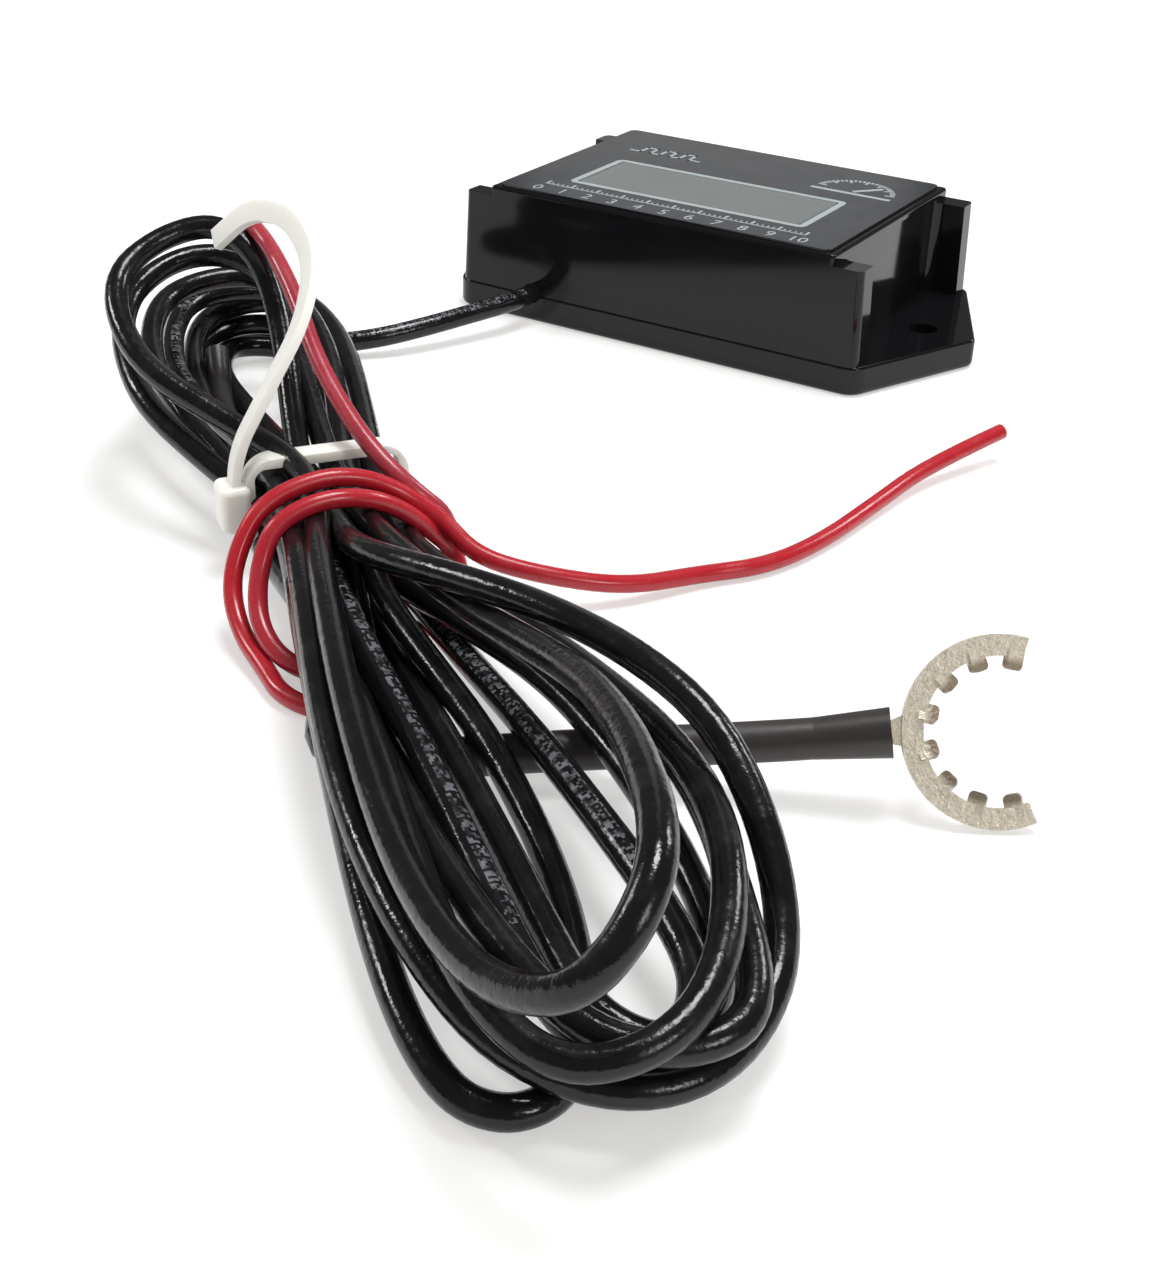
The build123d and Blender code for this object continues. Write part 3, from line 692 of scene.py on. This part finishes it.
def wire_curve(
    name: str, points: list[Point], thickness: float, smoothness: int, sides: int
) -> bpy.types.Object:
    """A round cord along one smooth spline.

    Args:
        name: Name of the piece.
        points: Control points in millimetres.
        thickness: Diameter in millimetres.
        smoothness: Steps from one point to the next.
        sides: Steps in a quarter of the girth.

    Returns:
        The curve's object, linked to the scene.
    """
    curve = bpy.data.curves.new(name, "CURVE")
    curve.dimensions = "3D"
    spline = curve.splines.new("NURBS")
    spline.points.add(len(points) - 1)
    for target, point in zip(spline.points, points):
        target.co = (*(Vector(point) * MM), 1.0)
    spline.order_u = 3
    spline.use_endpoint_u = True
    spline.resolution_u = smoothness
    curve.bevel_depth = thickness / 2 * MM
    curve.bevel_resolution = sides
    curve.use_fill_caps = True
    curve.twist_mode = "Z_UP"
    return put_in_scene(name, curve)


def spline_length(points: list[Point], samples: int = 8) -> float:
    """Length of the smooth spline through the given control points, in metres.

    Args:
        points: Control points in millimetres.
        samples: Steps from one point to the next.

    Returns:
        The length in metres.
    """
    curve = wire_curve("measured_line", points, 0.0, samples, 0)
    curve.data.use_fill_caps = False
    line = bpy.data.meshes.new_from_object(curve.evaluated_get(bpy.context.evaluated_depsgraph_get()))
    spots = [v.co for v in line.vertices]
    total = sum((b - a).length for a, b in zip(spots, spots[1:]))
    bpy.data.meshes.remove(line)
    bpy.data.curves.remove(curve.data)
    return total


@dataclass
class CoaxCable:
    """The coax: out of the housing, seven turns through the tie, and into the ground sleeve.

    Attributes:
        diameter: Over the jacket.
        exit: Where it leaves the housing's front wall.
        straight: Length of its first run, square to the wall.
        lead: Points on the floor as far as the waist, in the hank's frame.
        turns: The loose turns.
        tail: Points from the last turn to the sleeve's mouth.
        printed_lead: Printed stretch of the lead, as numbers of its points.
        printed_turns: Printed stretches of the turns: the turn, and the first and last of its guides.
        print_side: Middle of the printed row, as a share of the girth.
        smoothness: Steps from one point to the next.
        sides: Steps in a quarter of the girth.
    """

    diameter: float = 2.8
    exit: Point = (-19.86, -21.1, 4.3)
    straight: float = 4.0
    lead: tuple[Point, ...] = (
        (-59.4, 37.4, 3.95), (-57.7, 29.6, 3.3), (-57.0, 22.6, 2.6), (-58.3, 16.4, 1.95),
        (-62.5, 11.5, 1.5), (-67.0, 8.5, 1.5), (-68.5, 4.5, 1.5), (-65.5, 0.5, 1.5), (-57.5, -3.0, 1.5),
        (-46.5, -3.5, 1.5), (-33.5, -2.5, 1.5), (-19.5, -1.0, 2.0),
    )
    turns: tuple[Turn, ...] = (
        Turn(
            left=(-1.5, -1, 2.9),
            near=(
                (22.5, -1.5, 3.9), (51, -2, 5.5), (75, -2.5, 4.6), (85.5, -2, 4), (88.5, 3.5, 2.5),
                (82, 9.5, 3.5), (65, 11, 6), (44.5, 9, 7.5), (22.5, 2.5, 6.5),
            ),
            right=(1, 1.5, 3),
            far=(
                (-23, 6, 1.5), (-44, 10.6, 1.5), (-54.5, 11.4, 1.5), (-60, 8.6, 1.6),
                (-60.3, 2.7, 2.2), (-55, -0.3, 2.8), (-42, -2.3, 4.2), (-22, -0.5, 4.5),
            ),
        ),
        Turn(
            left=(1.5, 0.5, 6),
            near=(
                (27.5, -4, 6.5), (54.5, -8, 6.5), (77, -8.5, 8.5), (91.5, -4, 7.2),
                (93.5, 6, 7.5), (82, 10.3, 9.3), (63, 14, 9), (36, 10.5, 7.5),
            ),
            right=(8, 6.3, 3.3),
            far=(
                (-23, 9, 1.5), (-48, 13.3, 3.5), (-59.5, 10.8, 4.3), (-62.5, 4, 4.6),
                (-56.5, -3, 4.6), (-42.5, -6.5, 3.7), (-21, -6, 1.5),
            ),
        ),
        Turn(
            left=(2.5, -2.5, 5.5),
            near=(
                (28.5, -6, 9.5), (55.5, -6, 8.5), (76.5, -6, 6.2), (87.3, -4.8, 4.9), (91, 0.5, 5),
                (85.5, 5.7, 6), (69, 5.7, 7), (47, 5, 6), (23, 4.5, 3.5),
            ),
            right=(-2, 4.5, 4.5),
            far=(
                (-26.5, 11.5, 4), (-49, 15, 5.5), (-62, 10, 7.5),
                (-59.5, -1, 7.5), (-42.5, -6.5, 6.5), (-19, -7, 4),
            ),
        ),
        Turn(
            left=(6, -7.5, 2.5),
            near=(
                (30.5, -7.5, 6.5), (57, -10, 9.5), (81, -12, 9), (93.5, -8, 8),
                (93.5, 2, 10), (81, 10, 12.5), (63, 12.5, 12), (39.5, 9, 10),
            ),
            right=(13.5, 4.6, 7.6),
            far=(
                (-14.5, 9, 6.5), (-43, 13.5, 8), (-58.5, 10, 10),
                (-56.5, -4, 11), (-38, -9.5, 8), (-13, -5.5, 8),
            ),
        ),
        Turn(
            left=(12, -6.6, 10.3),
            near=(
                (38.5, -11.1, 10.3), (63.5, -14, 8), (86.5, -11, 5), (93.8, 1, 3.3),
                (85.8, 13, 5.8), (69, 14.5, 16), (49.5, 6.5, 18), (28, -3, 14),
            ),
            right=(10.5, -1.5, 9),
            far=(
                (-3.5, -2, 9.5), (-19, 0.5, 16.5), (-28, 0.2, 24.6), (-34.5, -5, 28),
                (-31.2, -16.3, 24), (-16, -16, 17.5), (0, -3, 11.5),
            ),
        ),
        Turn(
            left=(20, -6, 11.5),
            near=(
                (45, -10.4, 12.6), (69, -13, 11.5), (88.5, -13, 14), (98.8, -9.5, 19.5),
                (97, -3.8, 25.5), (86, 0.2, 25.5), (66, 4, 20.5), (43.5, 3.5, 14),
            ),
            right=(21.5, 1, 11.4),
            far=(
                (-0.5, 1, 9.5), (-25, 3, 14.8), (-38, 2.6, 20.3), (-42.3, -5.5, 21.8),
                (-36.5, -15, 18.5), (-17.5, -16.5, 13), (1, -7, 7),
            ),
        ),
        Turn(
            left=(14, -7.2, 7.2),
            near=(
                (31, -10, 8), (57.5, -13.5, 5.5), (77, -15.3, 3.5), (88, -13.8, 2), (90.3, -8.3, 1.6),
                (84.5, -3, 1.5), (69, 1.5, 2), (49.5, 1.5, 5.5), (28, -1.5, 8.5),
            ),
            right=(9.5, 2, 7.5),
            far=(
                (-10.5, 4.5, 6.5), (-34.5, 9.5, 10), (-51, 6, 15),
                (-49.5, -8, 14.5), (-30.5, -13, 11), (-6.5, -7.5, 6.5),
            ),
        ),
    )
    tail: tuple[Point, ...] = (
        (9, -4, 3), (18.5, -4.5, 3.5), (26, -5.5, 3.7), (33.5, -8.5, 3.7), (43.5, -13, 2.2),
        (45.26, -7.68, 2),
    )
    printed_lead: tuple[float, float] = (0.3, 5.0)
    printed_turns: tuple[tuple[int, float, float], ...] = ((2, 0.5, 3.0), (2, 6.5, 9.5), (3, 13.0, 14.3))
    print_side: float = 0.12
    smoothness: int = 5
    sides: int = 5

    def coil(self) -> list[Point]:
        """Points of all turns: each guide, and one worked out between it and the next.

        Returns:
            Points in the hank's frame, two for each guide.
        """
        guides = [guide for turn in self.turns for guide in turn.guides()] + [self.tail[0]]
        points: list[Point] = []
        for i, guide in enumerate(guides[:-1]):
            around = (guides[max(i - 1, 0)], guide, guides[i + 1], guides[min(i + 2, len(guides) - 1)])
            points += [guide, tuple((9 * (q + r) - p - s) / 16 for p, q, r, s in zip(*around))]
        return points

    def route(self) -> list[Point]:
        """The whole route in the part's frame.

        Returns:
            Its points in millimetres.
        """
        x, y, z = self.exit
        in_hank = [*self.lead, *self.coil(), *self.tail]
        return [self.exit, (x, y - self.straight, z), *(HANK.place(p) for p in in_hank)]

    def printed(self) -> tuple[tuple[float, float], ...]:
        """Printed stretches as pairs of shares of the spline, counted from the wall.

        Returns:
            Start and end of each stretch.
        """
        count = len(self.route()) - 1
        first = count + 1 - len(self.coil()) - len(self.tail)
        pairs = [tuple(guide / count for guide in self.printed_lead)]
        for number, start, end in self.printed_turns:
            before = sum(len(turn.guides()) for turn in self.turns[:number])
            pairs.append(tuple((first + 2 * (before + guide)) / count for guide in (start, end)))
        return tuple(pairs)

    def build(self) -> bpy.types.Object:
        """Returns:
            The cable's piece.
        """
        points = self.route()
        length = spline_length(points)
        cable = wire_curve("coax_cable", points, self.diameter, self.smoothness, self.sides)
        finish = Jacket(
            colour=(0.006, 0.006, 0.007),
            worn=(0.014, 0.013, 0.013),
            roughness=0.17,
            length=length,
            printed=self.printed(),
            girth=self.print_side,
        )
        cable.data.materials.append(finish.make("coax_jacket"))
        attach(cable, ROOT)
        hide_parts("coax_lead_in", "coax_hank")
        log.info("coax_cable is %.3f m long", length)
        return cable


@dataclass
class RedWire:
    """The red wire: out of the bundle, over the far loops, twice round the bundle, and off along the floor.

    Attributes:
        diameter: Over the insulation.
        upper: Points from the bundle, up behind the far loops and down to the bundle's right side.
        wraps: Points of the two turns, each down the right side, under, up the left side and over the top.
        tail: Points from the bundle to the cut end.
        smoothness: Steps from one point to the next.
        sides: Steps in a quarter of the girth.
    """

    diameter: float = 2.0
    upper: tuple[Point, ...] = (
        (-17.0, 2.0, 1.6), (-25.0, 2.5, 1.3), (-33.5, 3.8, 1.4), (-39.5, 5.6, 5.0), (-40.8, 6.0, 12.3),
        (-41.0, 4.6, 19.4), (-37.6, 1.4, 25.2), (-31.8, -0.2, 28.8), (-25.0, 0.8, 27.5),
        (-16.5, 1.6, 23.9), (-8.0, 1.5, 19.8), (0.5, 2.9, 15.9), (6.2, 4.6, 13.4),
    )
    wraps: tuple[tuple[Point, ...], ...] = (
        (
            (9.7, 7.3, 10.8), (10.1, 10.8, 7.6), (10.6, 11.2, 3.2), (12.8, 7.2, 1.1), (17.2, 2.0, 1.1),
            (23.6, -1.6, 1.1), (28.0, -4.6, 1.2), (28.7, -8.5, 1.7), (25.6, -11.6, 2.6), (21.6, -12.5, 4.1),
            (18.4, -12.0, 6.3), (16.5, -10.9, 8.9), (15.3, -9.2, 12.0), (14.8, -4.5, 13.8), (14.6, 0.5, 13.4),
            (13.4, 4.6, 10.9),
        ),
        (
            (12.9, 7.8, 7.8), (12.8, 11.0, 4.4), (15.4, 10.6, 1.1), (19.2, 6.8, 1.1), (24.0, 2.4, 1.1),
            (29.4, -1.2, 1.1), (33.6, -4.0, 1.1), (34.4, -9.6, 1.1), (30.0, -12.6, 1.1), (25.4, -13.0, 1.5),
            (19.5, -14.0, 2.3), (14.8, -14.0, 5.0), (12.4, -12.4, 8.6), (10.6, -9.4, 12.2),
            (10.0, -3.5, 14.0), (10.0, 1.5, 13.5), (10.4, 5.5, 11.4),
        ),
    )
    tail: tuple[Point, ...] = (
        (12.7, 9.4, 8.6), (16.5, 11.8, 5.6), (19.9, 18.0, 4.0), (21.8, 27.0, 2.0), (20.3, 36.6, 1.2),
        (20.8, 44.4, 1.15), (17.4, 53.2, 1.1), (10.6, 64.4, 1.3), (4.6, 74.8, 2.0), (1.6, 87.4, 3.8),
    )
    smoothness: int = 6
    sides: int = 4

    def route(self) -> list[Point]:
        """The whole route in the part's frame, in millimetres."""
        turns = [point for turn in self.wraps for point in turn]
        return [HANK.place(p) for p in [*self.upper, *turns, *self.tail]]

    def build(self) -> bpy.types.Object:
        """Returns:
            The wire's piece.
        """
        points = self.route()
        length = spline_length(points)
        wire = wire_curve("red_wire", points, self.diameter, self.smoothness, self.sides)
        finish = TwoTonePvc(first=(0.36, 0.032, 0.05), last=(0.43, 0.013, 0.024), change=(0.22, 0.5))
        wire.data.materials.append(finish.make("red_insulation"))
        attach(wire, ROOT)
        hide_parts("red_wire_upper", "red_wire_wraps", "red_wire_tail")
        log.info("red_wire is %.3f m long", length)
        return wire


# Print on the label


def new_piece(name: str, shape: bmesh.types.BMesh, finish: Moulding) -> bpy.types.Object:
    """Turns a bmesh into a dressed piece that rides on the part.

    Args:
        name: Name of the piece.
        shape: Its bmesh in metres, freed here.
        finish: Its finish.

    Returns:
        The piece.
    """
    mesh = mesh_of(name, shape)
    mesh.materials.append(finish.make(name + "_finish"))
    piece = put_in_scene(name, mesh)
    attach(piece, ROOT)
    log.info("%s has %d faces", name, len(mesh.polygons))
    return piece


@dataclass
class LabelPrint:
    """Plain print on the face label: window frame, tick scale with numbers, a dial arc and a pulse line.

    Attributes:
        top: Height of the label's surface.
        ink: Thickness of the ink.
        window: Middle of the window and its frame's outer size.
        line: Width of the frame's line.
        corner: Outer corner radius of the frame.
        scale_start: Where the scale's first tick stands.
        scale_step: Distance between two numbered ticks.
        scale_y: Front end of the ticks.
        last_number: Number at the end of the scale.
        ticks_a_step: Ticks from one number to the next.
        long_tick: Width and length of a numbered tick.
        short_tick: Width and length of the others.
        rule_width: Width of the line along the ticks.
        numeral_y: Foot of the numerals.
        numeral_size: Size of the numerals.
        dial_centre: Middle of the dial's arc.
        dial_radius: Outer radius of the dial's arc.
        dial_sweep: Angles of the arc's first and last tick in degrees.
        dial_steps: Steps from the first tick to the last.
        dial_long_every: Steps from one long tick to the next.
        dial_tick_width: Width of the arc's ticks.
        pulse_start: Where the pulse line begins.
        pulse_step: Length of one level of the pulse line.
        pulse_rise: Height of its steps.
        pulse_line: Width of the line.
        pulse_levels: Levels in the line.
    """

    top: float
    ink: float = 0.02
    window: tuple[float, float, float, float] = (0.2, -5.1, 38.4, 15.4)
    line: float = 1.0
    corner: float = 1.2
    scale_start: float = -21.0
    scale_step: float = 4.2
    scale_y: float = -15.6
    last_number: int = 10
    ticks_a_step: int = 5
    long_tick: tuple[float, float] = (0.4, 1.5)
    short_tick: tuple[float, float] = (0.24, 0.8)
    rule_width: float = 0.3
    numeral_y: float = -18.9
    numeral_size: float = 3.0
    dial_centre: tuple[float, float] = (17.6, 8.2)
    dial_radius: float = 6.2
    dial_sweep: tuple[float, float] = (10.0, 170.0)
    dial_steps: int = 24
    dial_long_every: int = 4
    dial_tick_width: float = 0.42
    pulse_start: tuple[float, float] = (-20.5, 8.6)
    pulse_step: float = 1.7
    pulse_rise: float = 2.6
    pulse_line: float = 0.5
    pulse_levels: int = 7

    def flat_box(
        self, bm: bmesh.types.BMesh, x: float, y: float, width: float, depth: float, turn: float = 0.0
    ) -> None:
        """Adds one flat bar of ink.

        Args:
            bm: Mesh that it is added to.
            x: Middle along X.
            y: Middle along Y.
            width: Size along X before the turn.
            depth: Size along Y before the turn.
            turn: Turn about the vertical in radians.
        """
        size = Matrix.Diagonal((width * MM, depth * MM, self.ink * MM, 1.0))
        place = Matrix.Translation(Vector((x, y, self.top + self.ink / 2)) * MM)
        bmesh.ops.create_cube(bm, size=1.0, matrix=place @ Matrix.Rotation(turn, 4, "Z") @ size)

    def frame(self) -> bpy.types.Object:
        """The pale line round the window.

        Returns:
            The piece.
        """
        x, y, width, depth = self.window
        bm = bmesh.new()
        bmesh.ops.create_grid(bm, x_segments=1, y_segments=1, size=0.5)
        bmesh.ops.scale(bm, vec=(width * MM, depth * MM, 1.0), verts=bm.verts)
        corners = bm.verts[:]
        bmesh.ops.bevel(
            bm, geom=corners, offset=self.corner * MM, segments=6, profile=0.5, affect="VERTICES", material=-1
        )
        bmesh.ops.inset_region(
            bm, faces=bm.faces[:], thickness=self.line * MM, use_even_offset=True, use_boundary=True
        )
        inner = min(bm.faces, key=lambda f: f.calc_center_median().length)
        bmesh.ops.delete(bm, geom=[inner], context="FACES")
        grown = bmesh.ops.extrude_face_region(bm, geom=bm.faces[:])
        raised = [v for v in grown["geom"] if isinstance(v, bmesh.types.BMVert)]
        bmesh.ops.translate(bm, vec=(0, 0, self.ink * MM), verts=raised)
        bmesh.ops.translate(bm, vec=Vector((x, y, self.top)) * MM, verts=bm.verts)
        bmesh.ops.recalc_face_normals(bm, faces=bm.faces)
        return new_piece("window_frame_print", bm, INK)

    def ticks(self) -> bpy.types.Object:
        """The tick scale along the front edge.

        Returns:
            The piece.
        """
        bm = bmesh.new()
        for k in range(self.last_number * self.ticks_a_step + 1):
            x = self.scale_start + self.scale_step * k / self.ticks_a_step
            width, length = self.short_tick if k % self.ticks_a_step else self.long_tick
            self.flat_box(bm, x, self.scale_y + length / 2, width, length)
        reach = self.last_number * self.scale_step
        middle = self.scale_start + reach / 2
        self.flat_box(bm, middle, self.scale_y, reach + self.long_tick[0], self.rule_width)
        return new_piece("tick_scale_print", bm, INK)

    def numerals(self) -> bpy.types.Object:
        """The numbers 0 to 10 under the scale.

        Returns:
            The piece.
        """
        bm = bmesh.new()
        for number in range(self.last_number + 1):
            text = bpy.data.curves.new("numeral", "FONT")
            text.body = str(number)
            text.size = self.numeral_size * MM
            text.align_x = "CENTER"
            text.extrude = self.ink / 2 * MM
            text.resolution_u = 4
            holder = bpy.data.objects.new("numeral", text)
            mesh = bpy.data.meshes.new_from_object(holder)
            x = self.scale_start + self.scale_step * number
            mesh.transform(Matrix.Translation(Vector((x, self.numeral_y, self.top + self.ink / 2)) * MM))
            bm.from_mesh(mesh)
            bpy.data.meshes.remove(mesh)
            bpy.data.objects.remove(holder)
            bpy.data.curves.remove(text)
        return new_piece("numeral_print", bm, INK)

    def dial(self) -> bpy.types.Object:
        """A small dial arc with a needle, behind the window to the right.

        Returns:
            The piece.
        """
        bm = bmesh.new()
        x, y = self.dial_centre
        first, last = self.dial_sweep
        for k in range(self.dial_steps + 1):
            angle = math.radians(first + (last - first) * k / self.dial_steps)
            _, length = self.short_tick if k % self.dial_long_every else self.long_tick
            reach = self.dial_radius - length / 2
            place = (x + reach * math.cos(angle), y + reach * math.sin(angle))
            self.flat_box(bm, *place, length, self.dial_tick_width, angle)
        needle_x, needle_y, needle_length, needle_width = 1.6, 1.9, 5.0, 0.8
        self.flat_box(bm, x + needle_x, y + needle_y, needle_length, needle_width, math.radians(50))
        foot_drop, foot_length, foot_width = 1.1, 12.6, 0.9
        self.flat_box(bm, x, y - foot_drop, foot_length, foot_width)
        return new_piece("dial_print", bm, INK)

    def pulse(self) -> bpy.types.Object:
        """A small square pulse line, behind the window to the left.

        Returns:
            The piece.
        """
        bm = bmesh.new()
        x, y = self.pulse_start
        step, rise, line = self.pulse_step, self.pulse_rise, self.pulse_line
        for k in range(self.pulse_levels):
            level = y + (rise if k % 2 else 0.0)
            self.flat_box(bm, x + step * (k + 0.5), level, step + line, line)
            if k:
                self.flat_box(bm, x + step * k, y + rise / 2, line, rise + line)
        return new_piece("pulse_print", bm, INK)

    def build(self) -> list[bpy.types.Object]:
        """Builds all the print.

        Returns:
            The pieces of ink.
        """
        return [self.frame(), self.ticks(), self.numerals(), self.dial(), self.pulse()]


# Studio


@dataclass(frozen=True)
class Lamp:
    """One soft square lamp.

    Attributes:
        name: Its name.
        place: Where it stands in metres.
        size: Its side in metres.
        power: Its power in watts.
        tint: Its colour.
    """

    name: str
    place: Point
    size: float
    power: float
    tint: Colour = (1.0, 1.0, 1.0)

    def build(self, target: Vector) -> None:
        """Adds the lamp, aimed at the object.

        Args:
            target: Point that it is aimed at.
        """
        data = bpy.data.lights.new(self.name, "AREA")
        data.size = self.size
        data.energy = self.power
        data.color = self.tint
        lamp = put_in_scene(self.name, data)
        lamp.location = self.place
        aim = target - Vector(self.place)
        lamp.rotation_euler = aim.to_track_quat(LampAxis.AIM.value, LampAxis.UP.value).to_euler()


@dataclass(frozen=True)
class Shot:
    """The camera's place and aim.

    Attributes:
        place: Where it stands in millimetres.
        yaw: Turn of the aim to the left of +Y in degrees.
        pitch: Fall of the aim in degrees.
        roll: Turn about the aim in degrees.
        lens: Focal length for a 36 mm sensor.
    """

    place: Point = (118.09, -237.39, 92.79)
    yaw: float = 30.54
    pitch: float = 29.78
    roll: float = -1.93
    lens: float = 50.72

    def build(self) -> None:
        """Adds the camera and makes it the scene's own."""
        yaw, pitch, roll = (math.radians(a) for a in (self.yaw, self.pitch, self.roll))
        ahead = Vector((-math.sin(yaw) * math.cos(pitch), math.cos(yaw) * math.cos(pitch), -math.sin(pitch)))
        level = Vector((math.cos(yaw), math.sin(yaw), 0.0))
        down = ahead.cross(level)
        right = level * math.cos(roll) + down * math.sin(roll)
        below = -level * math.sin(roll) + down * math.cos(roll)
        turn = Matrix((right, -below, -ahead)).transposed().to_4x4()
        data = bpy.data.cameras.new("camera")
        data.lens = self.lens
        data.clip_start = 0.01
        data.clip_end = 10.0
        camera = put_in_scene("camera", data)
        camera.matrix_world = Matrix.Translation(Vector(self.place) * MM) @ turn
        bpy.context.scene.camera = camera


@dataclass
class Studio:
    """Pale floor, white surroundings and soft lamps.

    Attributes:
        reach: Half the floor's side in metres.
        floor_drop: Distance of the floor under the object, in metres.
        floor_colour: Colour of the floor where it lights the object.
        floor_white: Colour that the floor shows to the camera.
        floor_strength: Strength of that white.
        floor_share: Share of it in what the camera sees.
        card_place: Middle of the low white card behind the object, in metres.
        card_size: Its width and height in metres.
        card_strength: Its strength, where 1 is white.
        world_strength: Strength of the white world as a light.
        gloss_change: What is added to it in reflections.
        lamps: The lamps.
    """

    reach: float = 3.0
    floor_drop: float = 0.00003
    floor_colour: Colour = (0.86, 0.86, 0.86)
    floor_white: Colour = (1.0, 0.99, 0.975)
    floor_strength: float = 1.35
    floor_share: float = 0.35
    card_place: Point = (-0.45, 0.90, 0.14)
    card_size: tuple[float, float] = (2.4, 0.28)
    card_strength: float = 0.48
    world_strength: float = 0.5
    gloss_change: float = -0.38
    lamps: tuple[Lamp, ...] = (
        Lamp("overhead_lamp", (0.05, 0.05, 0.75), 0.26, 4.2),
        Lamp("left_lamp", (-0.75, -0.25, 0.50), 0.18, 1.8, (1.0, 0.97, 0.93)),
        Lamp("back_lamp", (0.35, 0.75, 0.55), 0.25, 2.2),
        Lamp("right_lamp", (0.80, -0.35, 0.45), 0.22, 1.5, (1.0, 0.97, 0.93)),
    )

    def floor(self) -> bpy.types.Object:
        """The floor, which shows white with soft shadows.

        Returns:
            The piece of stage.
        """
        bm = bmesh.new()
        bmesh.ops.create_grid(bm, x_segments=1, y_segments=1, size=self.reach)
        bmesh.ops.translate(bm, vec=(0, 0, -self.floor_drop), verts=bm.verts)
        board = Board("floor_paint")
        board.surface.inputs["Base Color"].default_value = (*self.floor_colour, 1.0)
        board.surface.inputs["Roughness"].default_value = 0.6
        board.surface.inputs["Specular IOR Level"].default_value = 0.2
        white = board.add("ShaderNodeEmission")
        white.inputs["Color"].default_value = (*self.floor_white, 1.0)
        white.inputs["Strength"].default_value = self.floor_strength
        share = board.sum("MULTIPLY", seen_directly(board), self.floor_share)
        mix = board.add("ShaderNodeMixShader")
        board.join(share, mix.inputs["Fac"])
        board.join(board.surface.outputs[0], mix.inputs[1])
        board.join(white.outputs[0], mix.inputs[2])
        board.join(mix.outputs[0], board.tree.nodes["Material Output"].inputs["Surface"])
        return stage_piece("floor", bm, board.material)

    def card(self) -> bpy.types.Object:
        """The low white card that the label's gloss mirrors at its back.

        Returns:
            The piece of stage.
        """
        place = Vector(self.card_place)
        width, height = self.card_size
        bm = bmesh.new()
        turn = Vector((place.x, place.y, 0.0)).to_track_quat("Z", "Y").to_matrix().to_4x4()
        size = Matrix.Diagonal((height, width, 1.0, 1.0))
        bmesh.ops.create_grid(bm, x_segments=1, y_segments=1, size=0.5, matrix=turn @ size)
        bmesh.ops.translate(bm, vec=place, verts=bm.verts)
        board = Board("card_paint")
        white = board.add("ShaderNodeEmission")
        white.inputs["Strength"].default_value = self.card_strength
        board.join(white.outputs[0], board.tree.nodes["Material Output"].inputs["Surface"])
        return stage_piece("back_card", bm, board.material)

    def surroundings(self) -> None:
        """The world: white where it is seen, softer as a light, and dim in gloss."""
        world = bpy.data.worlds.new("surroundings")
        world.use_nodes = True
        bpy.context.scene.world = world
        tree = world.node_tree
        back = tree.nodes["Background"]
        back.inputs["Color"].default_value = (1.0, 1.0, 1.0, 1.0)
        path = tree.nodes.new("ShaderNodeLightPath")
        strength = tree.nodes.new("ShaderNodeMapRange")
        strength.inputs["To Min"].default_value = self.world_strength
        strength.inputs["To Max"].default_value = 1.0
        tree.links.new(path.outputs["Is Camera Ray"], strength.inputs["Value"])
        dim = tree.nodes.new("ShaderNodeMath")
        dim.operation = "MULTIPLY_ADD"
        dim.inputs[1].default_value = self.gloss_change
        tree.links.new(path.outputs["Is Glossy Ray"], dim.inputs[0])
        tree.links.new(strength.outputs["Result"], dim.inputs[2])
        tree.links.new(dim.outputs[0], back.inputs["Strength"])

    def build(self) -> None:
        """Builds floor, card, world and lamps."""
        self.floor()
        self.card()
        self.surroundings()
        low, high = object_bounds()
        for lamp in self.lamps:
            lamp.build((low + high) / 2)


def stage_piece(name: str, shape: bmesh.types.BMesh, paint: bpy.types.Material) -> bpy.types.Object:
    """Adds a painted piece of the stage, which is no part of the object.

    Args:
        name: Name of the piece.
        shape: Its bmesh in metres, freed here.
        paint: Its material.

    Returns:
        The piece.
    """
    mesh = mesh_of(name, shape)
    mesh.materials.append(paint)
    piece = put_in_scene(name, mesh)
    piece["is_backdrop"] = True
    return piece


def seen_directly(board: Board) -> bpy.types.NodeSocket:
    """Share that is 1 for rays from the camera, from gloss and through glass.

    Args:
        board: The material's nodes.

    Returns:
        The socket.
    """
    path = board.add("ShaderNodeLightPath")
    seen = board.sum("MAXIMUM", path.outputs["Is Camera Ray"], path.outputs["Is Glossy Ray"])
    return board.sum("MAXIMUM", seen, path.outputs["Is Transmission Ray"])


def main() -> None:
    """Builds the scene in order."""
    logging.basicConfig(level=logging.INFO, format="%(name)s: %(message)s")
    bpy.ops.wm.read_factory_settings(use_empty=True)
    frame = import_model()
    bpy.context.scene.view_settings.view_transform = "Standard"
    Shot().build()
    CoaxCable().build()
    RedWire().build()
    dress(frame["nodes"])
    label_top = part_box("face_label")[1].z / MM
    LabelPrint(top=label_top).build()
    Studio().build()


if __name__ == "__main__":
    main()
